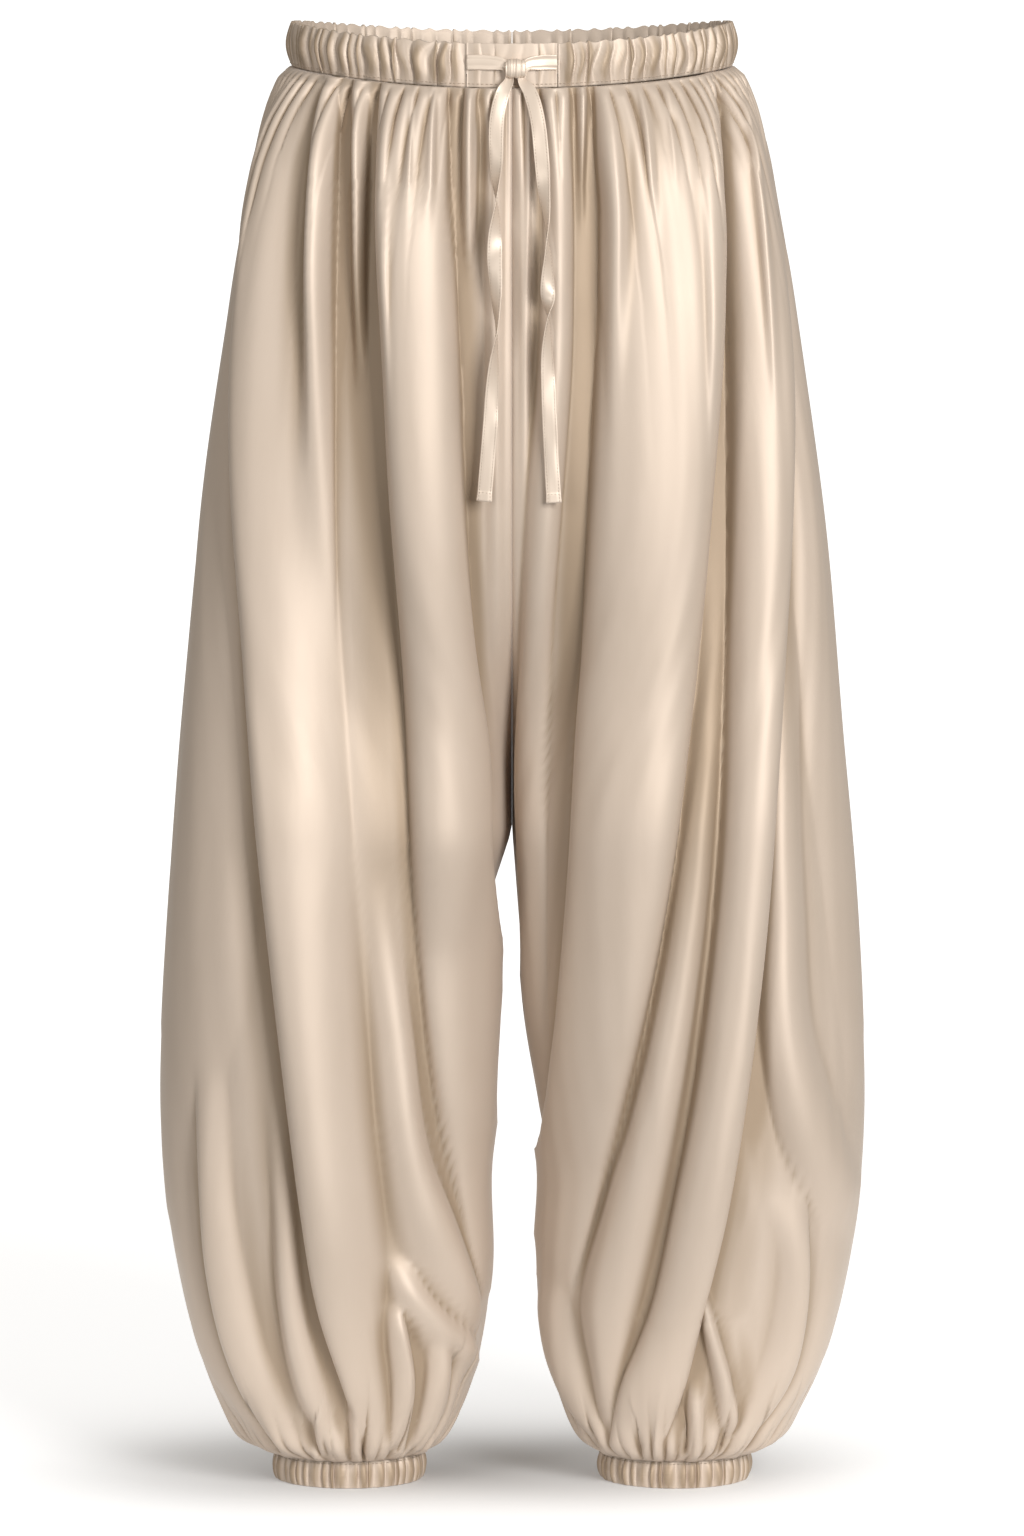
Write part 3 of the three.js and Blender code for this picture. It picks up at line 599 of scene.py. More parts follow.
@dataclass(frozen=True)
class LegForm:
    """The legs' cloth surface: a section at each height, lifted off it by the folds."""

    waist: Waist = Waist()
    cuff_top: float = -964.0
    fork_start: float = -200.0
    fork: float = -535.0
    fork_bend: float = 4.0
    squareness: float = 0.12
    blend: float = 5.0
    seam_calm: float = 12.0
    side_from: float = 0.6
    side_calm: float = 0.75
    seam_gap: float = 0.3
    # height, half width to the outseam, depth at the front, depth at the back
    outline: tuple[tuple[float, float, float, float], ...] = (
        (-964, 166, 52.5, 52.5), (-956, 182, 63, 63), (-936, 197, 73, 73), (-905, 211.5, 86, 86), (-858, 225.5, 96, 97),
        (-789, 237, 104, 105), (-706, 241, 106, 107), (-584, 235, 106, 108), (-447, 223, 107, 115),
        (-311, 210, 110, 122),
        (-174, 190.5, 111, 122), (-105, 178.5, 109, 116), (-74, 173, 107, 111), (-44, 165, 103, 105),
        (-23, 156, 99, 100),
        (-15, 150, 96, 97),
    )
    # height, the left inseam's distance from the middle, the right one's
    inseams: tuple[Triple, ...] = (
        (-964, 60, 60), (-956, 49, 49), (-936, 37, 35), (-900, 25, 23), (-840, 17, 15), (-768, 26, 21),
        (-720, 20, 19), (-660, 10, 20), (-600, 5, 19), (-535, 0, 0),
    )
    top_tuck: float = 0.3
    waist_gathers: Gathers = Gathers(
        count=46, rise=5.4, sunk=0.45, roundness=0.8, wander=0.35, wander_pitch=5.3 * math.pi, reach=52,
        reaches=(0.35, 1.5, 2), sizes=(0.6, 0.6), fade=1.4, seam_share=0.15, whole_at=10, seed=4.0,
    )
    cuff_gathers: Gathers = Gathers(
        count=46, rise=4.6, sunk=0.45, roundness=0.8, wander=0.3, wander_pitch=18.2, reach=19,
        reaches=(0.5, 1.2, 1), sizes=(0.5, 0.7), fade=1.5, seam_share=0.25, whole_at=6, seed=6.0,
    )
    ankle_folds: Gathers = Gathers(
        count=17, rise=12, sunk=0.6, roundness=0.75, wander=0.35, wander_pitch=13, reach=30,
        reaches=(0.5, 1.7, 1.5), sizes=(0.35, 0.75), fade=2, seam_share=0, whole_at=14, seed=8.0, alike=False,
    )
    ankle_sway: float = 0.45
    slack_rises: tuple[float, float] = (1.1, 0.45)

    def sizes(self, side: Side, z: Array) -> dict[str, Array]:
        """The section's widths and depths at each height, and its fork: 0 for the hips' section, 1 for a leg's."""
        levels, outer, front, back = np.array(self.outline).T
        heights, left, right = np.array(self.inseams).T
        way = np.clip((self.fork_start - z) / (self.fork_start - self.fork), 0, 1)
        inner = curve(heights, left if side is Side.LEFT else right, z)
        return {
            "fork": way**self.fork_bend * (1 + self.fork_bend * (1 - way)),
            "outer": curve(levels, outer, z),
            "inner": np.where(z < self.fork, inner, 0.0),
            "front": curve(levels, front, z),
            "back": curve(levels, back, z),
            "power": 1 - self.squareness * smooth(np.minimum(-30 - z, z + 950) / 60),
        }

    @staticmethod
    def section(sizes: dict[str, Array], place: Array) -> tuple[Array, Array]:
        """The section's X and Y: a quarter oval and a closed loop, mixed by the fork.

        Args:
            sizes: The section's sizes.
            place: 0 at the centre front or inseam, 0.5 at the outseam, 1 at the centre back or inseam again.

        Returns:
            The distance from the middle, and Y.
        """
        t = np.where(place <= 0.5, 2 * place, 2 * (1 - place))
        across = np.sin(np.pi / 2 * t)
        fork = sizes["fork"]
        leg = sizes["inner"] + (sizes["outer"] - sizes["inner"]) * across**2
        x = (1 - fork) * sizes["outer"] * across + fork * leg
        hip = np.maximum(np.cos(np.pi / 2 * t), 0) ** sizes["power"]
        loop = np.maximum(np.sin(np.pi * t), 0) ** sizes["power"]
        depth = np.where(place <= 0.5, -sizes["front"], sizes["back"])
        return x, depth * ((1 - fork) * hip + fork * loop)

    @staticmethod
    def place_of(sizes: dict[str, Array], x: Array, face: Face) -> Array:
        """The place round the leg that lies x from the middle, seen from that face: the section's X, solved."""
        a = sizes["fork"] * (sizes["outer"] - sizes["inner"])
        b = (1 - sizes["fork"]) * sizes["outer"]
        c = sizes["fork"] * sizes["inner"] - x
        root = np.sqrt(np.maximum(b * b - 4 * a * c, 0))
        across = np.where(a < 1e-6, -c / np.maximum(b, 1e-9), (-b + root) / np.maximum(2 * a, 1e-9))
        t = np.arcsin(np.clip(across, 0, 1)) / (np.pi / 2)
        return t / 2 if face is Face.FRONT else 1 - t / 2

    def folds(self, side: Side, sizes: dict[str, Array], place: Array, z: Array, speed: Array) -> tuple[Array, Array]:
        """How far the folds lift the cloth, and how far they push it along the section.

        A fold's height over its width is one minus the square of the distance from its crest, to the
        power of that edge. The folds are joined by a sum of high powers, so that the higher one wins.

        Args:
            side: The leg.
            sizes: The section's sizes.
            place: Places round the leg.
            z: Heights.
            speed: Millimetres along the section for each unit of place.

        Returns:
            The lift square to the section, and the shift along it.
        """
        lifts, shifts = np.zeros(place.shape), np.zeros(place.shape)
        for face in Face:
            listed = FRONT_FOLDS[side] if face is Face.FRONT else BACK_FOLDS
            moved = 0.0 if face is Face.FRONT else BACK_SHIFT[side]
            forward = 1.0 if face is Face.FRONT else -1.0
            for fold in listed:
                level, near_x, far_x, rises = np.array(fold.stations)[::-1].T
                inside = (z >= level[0] - 10) & (z <= level[-1] + 14)
                here = inside.any(axis=1)
                if not here.any():
                    continue
                part, at = {key: value[here] for key, value in sizes.items()}, z[here]
                fade = moved * smooth((at + 960) / 40) * smooth((-20 - at) / 40)
                near = self.place_of(part, curve(level, near_x, at) + fade, face)
                far = self.place_of(part, curve(level, far_x, at) + fade, face)
                crest = near + fold.crest * (far - near)
                ahead = forward * (place[here] - crest)
                width = np.where(ahead > 0, np.abs(far - crest), np.abs(crest - near)) + 1e-9
                r = np.clip(np.abs(ahead) / width, 0, 1)
                power = np.where(ahead > 0, fold.far_power, fold.near_power)
                rise = np.maximum(curve(level, rises, at), 0)
                rise = rise * smooth((at - level[0] + 10) / 10) * smooth((level[-1] + 14 - at) / 10)
                height = np.where(inside[here], rise * (1 - r * r) ** power, 0.0)
                lifts[here] += height**self.blend
                shifts[here] += height**self.blend * height * fold.lean * forward
        joined = lifts ** (1 / self.blend)
        inward = np.minimum(place, 1 - place)
        calm = smooth(inward * speed / self.seam_calm)
        calm = calm * (1 - self.side_calm * smooth((2 * inward - self.side_from) / (1 - self.side_from)))
        return joined * calm, shifts / np.maximum(lifts, 1e-9) * calm

    def gathers(self, side: Side, place: Array, z: Array) -> Array:
        """The lift of the small gathers under the casing and over the cuff, and of the ankle's wider folds."""
        below = np.maximum(self.waist.seam(place * np.pi) - z, 0)
        above = np.maximum(z - self.cuff_top, 0)
        sway = self.ankle_sway * smooth(above / 70) * ripple(place * 15, z / 26, 23.0 + side.value)
        top = self.waist_gathers.lift(side, place, below)
        low = self.cuff_gathers.lift(side, place, above) + self.ankle_folds.lift(side, place, above, sway)
        inward = np.minimum(place, 1 - place)
        return top * smooth(inward * 70) + low * smooth(inward * 30)

    def points(self, side: Side, place: Array, down: Array) -> Array:
        """Points of the cloth: the section, moved out square to itself by the folds and gathers.

        Args:
            side: The leg.
            place: Places round the leg.
            down: Shares of the way from the casing's seam to the cuff.

        Returns:
            The points in millimetres.
        """
        t = np.where(place <= 0.5, 2 * place, 2 * (1 - place))
        angle = np.where(place <= 0.5, np.pi / 2 * t, np.pi - np.pi / 2 * t)
        top = self.waist.seam(angle) - self.seam_gap
        z = top + (self.cuff_top + self.seam_gap - top) * down
        sizes = self.sizes(side, z)
        step = 1e-3
        low, high = np.clip(place - step, 0, 1), np.clip(place + step, 0, 1)
        x0, y0 = self.section(sizes, low)
        x1, y1 = self.section(sizes, high)
        length = np.hypot(x1 - x0, y1 - y0)
        along_x, along_y = (x1 - x0) / length, (y1 - y0) / length
        lift, shift = self.folds(side, sizes, place, z, length / (high - low))
        lift = lift + self.gathers(side, place, z) + self.slack(side, place, z)
        lift = lift - self.top_tuck * (1 - smooth((top - z) / 5))
        x, y = self.section(sizes, place)
        x = x + along_y * lift + along_x * shift
        y = y - along_x * lift + along_y * shift
        return np.stack(np.broadcast_arrays(side.value * x, y, z), axis=-1)

    def slack(self, side: Side, place: Array, z: Array) -> Array:
        """Shallow unevenness of loose satin: long soft ripples down the leg, about a millimetre deep."""
        away = smooth(np.minimum(place, 1 - place) * 30) * smooth((-30 - z) / 60) * smooth((z + 960) / 60)
        broad, fine = self.slack_rises
        ripples = broad * ripple(place * 60, z / 95, 11.0 + side.value)
        return away * (ripples + fine * ripple(place * 140, z / 40, 17.0 + side.value))


# ---- finishes


def math_node(operation: str, turned: bool = False) -> Callable[["Shade", Any], "Shade"]:
    """An operator of Shade's that adds that Math node. turned puts the other value first."""

    def operate(self: "Shade", other: Any) -> "Shade":
        """The value of the new node."""
        first, second = (other, self) if turned else (self, other)
        return self.tree.node("ShaderNodeMath", {"operation": operation}, {0: first, 1: second})

    return operate


class Shade:
    """A socket's value, with the arithmetic that a number has: each operation adds its Math node."""

    def __init__(self, tree: "ShaderTree", socket: Any) -> None:
        """Wraps an output socket of the tree."""
        self.tree, self.socket = tree, socket

    __add__ = __radd__ = math_node("ADD")
    __mul__ = __rmul__ = math_node("MULTIPLY")
    __sub__, __rsub__ = math_node("SUBTRACT"), math_node("SUBTRACT", turned=True)
    __truediv__, __rtruediv__ = math_node("DIVIDE"), math_node("DIVIDE", turned=True)
    __pow__ = math_node("POWER")


class ShaderTree:
    """A material's nodes, made by one method."""

    def __init__(self, name: str) -> None:
        """Starts a material with a Principled shader."""
        self.material = bpy.data.materials.new(name)
        self.material.use_nodes = True
        self.nodes, self.links = self.material.node_tree.nodes, self.material.node_tree.links
        self.nodes.clear()
        self.output = self.nodes.new("ShaderNodeOutputMaterial")
        self.shader = self.nodes.new("ShaderNodeBsdfPrincipled")
        self.links.new(self.shader.outputs[0], self.output.inputs[0])

    def put(self, socket: Any, value: Any) -> None:
        """Links a Shade to a socket, or sets the socket's number or colour."""
        if isinstance(value, Shade):
            self.links.new(value.socket, socket)
        elif isinstance(value, tuple) and len(value) == 3 and socket.type == "RGBA":
            socket.default_value = (*value, 1.0)
        else:
            socket.default_value = value

    def node(
        self, kind: str, settings: dict[str, Any] | None = None, sockets: dict[Any, Any] | None = None, out: Any = 0
    ) -> Shade:
        """Adds a node.

        Args:
            kind: The node's type.
            settings: Its properties.
            sockets: Values or Shades for its inputs, by name or number.
            out: The output to return, by name or number.

        Returns:
            That output.
        """
        made = self.nodes.new(kind)
        for key, value in (settings or {}).items():
            setattr(made, key, value)
        for key, value in (sockets or {}).items():
            self.put(made.inputs[key], value)
        return Shade(self, made.outputs[out])

    def mix(self, share: Any, first: Any, second: Any) -> Shade:
        """A colour between two, by the share of the second."""
        return self.node("ShaderNodeMix", {"data_type": "RGBA"}, {"Factor": share, 6: first, 7: second}, 2)

    def bump(self, height: Shade, strength: float, distance: float, **under: Shade) -> Shade:
        """A normal raised by a height, over another normal if one is given."""
        return self.node("ShaderNodeBump", {}, {"Strength": strength, "Distance": distance, "Height": height, **under})

    def finish(self, **sockets: Any) -> Finish:
        """Sets the shader's sockets, underscores standing for spaces, and returns the material."""
        for key, value in sockets.items():
            self.put(self.shader.inputs[key.replace("_", " ")], value)
        return self.material


@dataclass(frozen=True)
class Satin:
    """Champagne polyester satin: a smooth face of long threads with a soft, broad gloss."""

    name: str = "champagne_satin"
    colour: Triple = (0.60, 0.50, 0.415)
    deep: Triple = (0.55, 0.45, 0.36)
    # painted shade: the colour that the cloth is darkened towards in its grooves, and that colour's share where a
    # groove is deepest
    hollow: Triple = (0.30, 0.215, 0.135)
    depth: float = 0.8
    roughness: float = 0.54
    metallic: float = 0.26
    sheen: float = 0.12
    # the noises' scales each way over the cloth, their detail and their roughness
    thread: tuple[float, float, float, float] = (2600.0, 60.0, 2.0, 0.6)
    weft: tuple[float, float, float, float] = (90.0, 2200.0, 1.0, 0.5)
    cloud: tuple[float, float, float, float] = (14.0, 14.0, 3.0, 0.55)
    wave: tuple[float, float, float, float] = (46.0, 11.0, 2.0, 0.5)
    # the bumps' strengths and depths in metres
    fine: tuple[float, float] = (0.10, 0.0001)
    soft: tuple[float, float] = (0.22, 0.0012)

    def build(self) -> Finish:
        """The material: threads along the cloth's V, slubs along some of them, a faint cloudiness, and painted shade in
        the grooves.
        """
        tree = ShaderTree(self.name)
        cloth = tree.node("ShaderNodeUVMap", {"uv_map": "cloth"})

        def noise(across: float, along: float, detail: float, rough: float) -> Shade:
            """A flat noise over the cloth."""
            place = tree.node("ShaderNodeMapping", {}, {"Vector": cloth, "Scale": (across, along, 1.0)})
            sockets = {"Vector": place, "Scale": 1.0, "Detail": detail, "Roughness": rough}
            return tree.node("ShaderNodeTexNoise", {"noise_dimensions": "2D"}, sockets, "Fac")

        thread, weft, cloud, wave = (noise(*sizes) for sizes in (self.thread, self.weft, self.cloud, self.wave))
        colour = tree.mix(cloud * 0.6 + thread * 0.4, self.deep, self.colour)
        # painted shade: the mesh's groove mark darkens the colour in the grooves
        groove = tree.node("ShaderNodeAttribute", {"attribute_name": "hollow"}, {}, "Fac")
        colour = tree.mix(groove * self.depth, colour, self.hollow)
        fine = tree.bump(thread * 0.6 + weft * 0.4, *self.fine)
        return tree.finish(
            Base_Color=colour, Metallic=self.metallic, Normal=tree.bump(wave, *self.soft, Normal=fine),
            Roughness=self.roughness + (cloud - 0.5) * 0.08 + (thread - 0.5) * 0.06,
            Sheen_Weight=self.sheen, Sheen_Roughness=0.4, IOR=1.45,
        )


@dataclass(frozen=True)
class Thread:
    """Matt sewing thread in the satin's colour, a shade darker."""

    name: str = "sewing_thread"
    colour: Triple = (0.42, 0.33, 0.25)
    dark: float = 0.8  # the twist's share of the colour

    def build(self) -> Finish:
        """The material: fine twisted stripes from a noise over the piece."""
        tree = ShaderTree(self.name)
        place = tree.node("ShaderNodeTexCoord", {}, {}, "Object")
        twist = tree.node("ShaderNodeTexNoise", {}, {"Vector": place, "Scale": 2400.0, "Detail": 1.0}, "Fac")
        colour = tree.mix(twist, tuple(self.dark * part for part in self.colour), self.colour)
        return tree.finish(Base_Color=colour, Roughness=0.6, Normal=tree.bump(twist, 0.3, 0.0001))


@dataclass(frozen=True)
class PaleFloor:
    """White paper with a glow of its own, and painted shadows beside the cuffs on the side away from the key light,
    where the glow is dimmer.
    """

    name: str = "studio_floor"
    colour: Triple = (0.6, 0.6, 0.6)
    glow: float = 0.96
    # the middle of each dimmer spot, its reach and how much it takes: the lit pool round the trousers, and painted
    # shadows beside the cuffs
    pool_and_painted_shadows: tuple[tuple[Triple, float, float], ...] = (
        ((0.0, 0.0, FLOOR), 1.8, 0.24), ((-0.15, 0.03, FLOOR), 0.15, 0.5), ((0.075, 0.03, FLOOR), 0.15, 0.5),
    )

    def build(self) -> Finish:
        """The material: matt, with soft round spots in the glow: the lit pool, and painted shadows beside the cuffs.

        A spot takes its part over one plus the fourth power of the distance over its reach.
        """
        tree = ShaderTree(self.name)
        place = tree.node("ShaderNodeTexCoord", {}, {}, "Object")
        cloud = tree.node("ShaderNodeTexNoise", {}, {"Vector": place, "Scale": 3.0}, "Fac")
        tree.finish(Base_Color=self.colour, Roughness=0.85 + cloud * 0.05, Emission_Strength=self.glow)
        light: Any = 1.0
        # each spot dims the glow: the lit pool round the trousers, and painted shadows beside the cuffs
        for middle, reach, part in self.pool_and_painted_shadows:
            away = tree.node("ShaderNodeVectorMath", {"operation": "DISTANCE"}, {0: place, 1: middle}, "Value")
            light = light - part * (1.0 / (1.0 + (away / reach) ** 4.0))
        tree.put(tree.shader.inputs["Emission Color"], light)
        return tree.material


# ---- the studio


@dataclass
class Studio:
    """The camera, the lights and white paper that rises far behind, as in the photograph."""

    distance: float = 6.2
    height: float = 0.15
    aim: float = -0.4935
    lens: float = 214.0
    key_place: Triple = (1.9, -3.8, 0.85)
    key_size: tuple[float, float] = (1.5, 2.3)
    key_power: float = 192.0
    fill_place: Triple = (-2.4, -3.5, 0.6)
    fill_size: tuple[float, float] = (1.0, 2.2)
    fill_power: float = 38.0
    lit: Triple = (0.0, 0.0, -0.5)
    world: float = 0.36
    world_colour: Triple = (1.0, 0.955, 0.885)
    # the paper's depths, its rise there and its half width: low enough to look over it from behind
    paper: tuple[Triple, ...] = (
        (-0.26, 0.0, 0.75), (2.5, 0.0, 0.8), (9.0, 0.3, 1.1), (17.0, 0.84, 1.6),
    )
    paper_rows: int = 40
    # a dark card on the floor in front, out of the picture: its sides, its front and back, and its grey
    card: tuple[float, float, float, float] = (-2.5, 2.5, -4.0, -0.27)
    card_grey: float = 0.1

    def place(self, name: str, data: Any, at: Triple, aim: Triple) -> Any:
        """Adds a camera or light there, turned to a point, and returns its object."""
        made = bpy.data.objects.new(name, data)
        made.location = at
        made.rotation_euler = (Vector(aim) - made.location).to_track_quat("-Z", "Y").to_euler()
        bpy.context.scene.collection.objects.link(made)
        return made

    def place_camera(self) -> None:
        """Sets the camera in front, a little above the waist, aimed at the middle of the trousers."""
        data = bpy.data.cameras.new("camera")
        data.lens, data.sensor_width, data.clip_end = self.lens, 36.0, 200.0
        at = (0.0, -self.distance, self.height)
        bpy.context.scene.camera = self.place("camera", data, at, (0.0, 0.0, self.aim))

    def area_light(self, name: str, at: Triple, size: tuple[float, float], power: float) -> None:
        """Adds a tall soft light, of that width and height, that faces the trousers."""
        data = bpy.data.lights.new(name, "AREA")
        data.shape, data.size, data.size_y, data.energy = "RECTANGLE", *size, power
        self.place(name, data, at, self.lit)

    def lay(self, name: str, x: Array, y: Array, z: Array, finish: PaleFloor) -> None:
        """Lays a sheet of the studio's, from the grids of its points in metres."""
        sheet = make_piece(name, np.stack(np.broadcast_arrays(x, y, z), axis=-1) / MM, grid_faces(*y.shape))
        sheet.data.materials.append(finish.build())

    def build(self) -> None:
        """Lights the scene and lays the floor."""
        scene = bpy.context.scene
        scene.view_settings.view_transform = "Standard"
        world = bpy.data.worlds.new("studio_air")
        world.use_nodes = True
        background = world.node_tree.nodes["Background"]
        background.inputs[0].default_value = (*self.world_colour, 1.0)
        background.inputs[1].default_value = self.world
        scene.world = world
        self.area_light("key_light", self.key_place, self.key_size, self.key_power)
        self.area_light("fill_light", self.fill_place, self.fill_size, self.fill_power)
        places, rises, widths = np.array(self.paper).T
        depth = np.linspace(0, 1, self.paper_rows) ** 2 * (places[-1] - places[0]) + places[0]
        width, y = np.meshgrid([-1.0, 0.0, 1.0], depth)
        level = np.maximum(curve(places, rises, depth), 0)[:, None] + FLOOR
        self.lay("studio_floor", width * np.interp(y, places, widths), y, level, PaleFloor())
        x, y = np.meshgrid(self.card[:2], self.card[2:])
        card = PaleFloor("studio_apron", (self.card_grey,) * 3, 0.0)
        self.lay("studio_apron", x, y, np.array(FLOOR - 0.001), card)


# ---- the pieces


@dataclass
class Legs:
    """The four leg panels, cut alike and gathered at both ends."""

    form: LegForm = field(default_factory=LegForm)
    columns: int = 278
    rows: int = 156
    thickness: float = 0.45
    allowance: float = 7.0  # turned in at each side
    flange: float = 5.0  # turned in under the casing
    half_gap: float = 0.03
    groove: float = 1.3
    groove_width: float = 2.4
    flat_width: float = 560.0
    flat_length: float = 1010.0
    # the rows' shares, and the shares of the way down that they reach
    marks: tuple[tuple[float, float], ...] = ((0, 0), (0.10, 0.014), (0.24, 0.07), (0.72, 0.80), (0.90, 0.965), (1, 1))
    readings: int = 900
    evenness: float = 0.25  # how much the columns' even places count beside the cloth's length
    # columns to either side, for the mask of the painted groove shade
    hollow_steps: tuple[int, ...] = (3, 6, 11, 18, 28)
    cloth_offset: float = 0.7  # metres between the cloth's place on one pair of panels and on the other

    def shares(self) -> Array:
        """The rows' shares of the way down, closer together near the casing and the cuff."""
        return np.interp(np.linspace(0, 1, self.rows), *np.array(self.marks).T)

    def places(self, side: Side, face: Face, down: Array) -> Array:
        """The columns' places in each row, spaced evenly along the folded cloth.

        Each row is first read at many even places. The running length of the folded line between
        them is then cut into equal parts.
        """
        low, high = (0.0, 0.5) if face is Face.FRONT else (0.5, 1.0)
        fine = np.linspace(low, high, self.readings)
        grid = self.form.points(side, fine[None, :].repeat(len(down), 0), down[:, None])
        run = arc_lengths(grid, 1)
        run = run + self.evenness * run[:, -1:] * (fine - low)[None, :] / (high - low)
        even = np.linspace(0, 1, self.columns)
        return np.stack([np.interp(even * line[-1], line, fine) for line in run])

    def inward(self, side: Side, face: Face, points: Array, across: Array) -> Array:
        """Unit directions into the trousers near a panel's two edges, where its seam allowance turns in.

        At the side seam that is straight across. At the centre seam it is straight back or forward, by
        no more than the room there, and below the fork it is across, away from the other leg.

        Args:
            side: The panel's leg.
            face: The panel's face.
            points: The panel's points.
            across: Their distances along the rows.

        Returns:
            A direction for each point.
        """
        middle = points[:, :1] if face is Face.FRONT else points[:, -1:]
        z = middle[..., 2]
        room = np.clip(np.abs(middle[..., 1]) / (1.3 * self.allowance), 0, 1)
        parted = smooth((self.form.fork - z) / 25)
        first = np.stack([side.value * parted, -face.value * room * (z > self.form.fork), 0 * z], axis=-1)
        last = np.broadcast_to(np.array([-side.value, 0.0, 0.0]), first.shape)
        is_first = (across < across[:, -1:] / 2)[..., None]
        return np.where(is_first, first, last) if face is Face.FRONT else np.where(is_first, last, first)

    def build_panel(self, side: Side, face: Face, finish: Finish) -> None:
        """One panel: the form on a grid of rows and columns, held off its seams' planes, as a thin shell."""
        down = self.shares()
        place = self.places(side, face, down)
        points = self.form.points(side, place, down[:, None].repeat(self.columns, 1))
        across = arc_lengths(points, 1)
        edge = np.minimum(across, across[:, -1:] - across)
        into = self.inward(side, face, points, across)
        points = points + into * (self.groove * (1 - smooth(edge / self.groove_width)))[..., None]
        points[..., 0] = side.value * (np.maximum(side.value * points[..., 0], 0) + self.half_gap)
        points[..., 1] = face.value * (np.maximum(face.value * points[..., 1], 0) + self.half_gap)
        turned = (self.allowance * np.array([1.0, 0.45]))[None, :, None]
        before, after = points[:, :1] + into[:, :1] * turned, points[:, -1:] + into[:, -1:] * turned[:, ::-1]
        points = np.concatenate([before, points, after], axis=1)
        under = points[:1] + self.flange * unit(points[:1] * np.array([-1.0, -1.0, 0.0]))
        points = np.concatenate([under, points], axis=0)
        across = arc_lengths(points, 1)
        uv = np.stack([across - across[:, -1:] / 2, -arc_lengths(points, 0)], axis=-1) * MM
        if (side is Side.LEFT) == (face is Face.FRONT):
            uv[..., 0] += self.cloth_offset
        faces = grid_faces(*points.shape[:2])
        if side is Side.LEFT:
            faces = faces[:, ::-1]
        piece = make_piece(f"satin_{face.word}_{side.word}", points, faces, uv)
        mark_painted_groove_shade(piece, points, self.hollow_steps, full=0.6)
        shell = piece.modifiers.new("cloth", "SOLIDIFY")
        shell.thickness, shell.offset = self.thickness * MM, -1.0
        dress(piece, finish, f"{face.word}_{side.word}")

    def build(self, finish: Finish) -> None:
        """All four panels."""
        for side in Side:
            for face in Face:
                self.build_panel(side, face, finish)


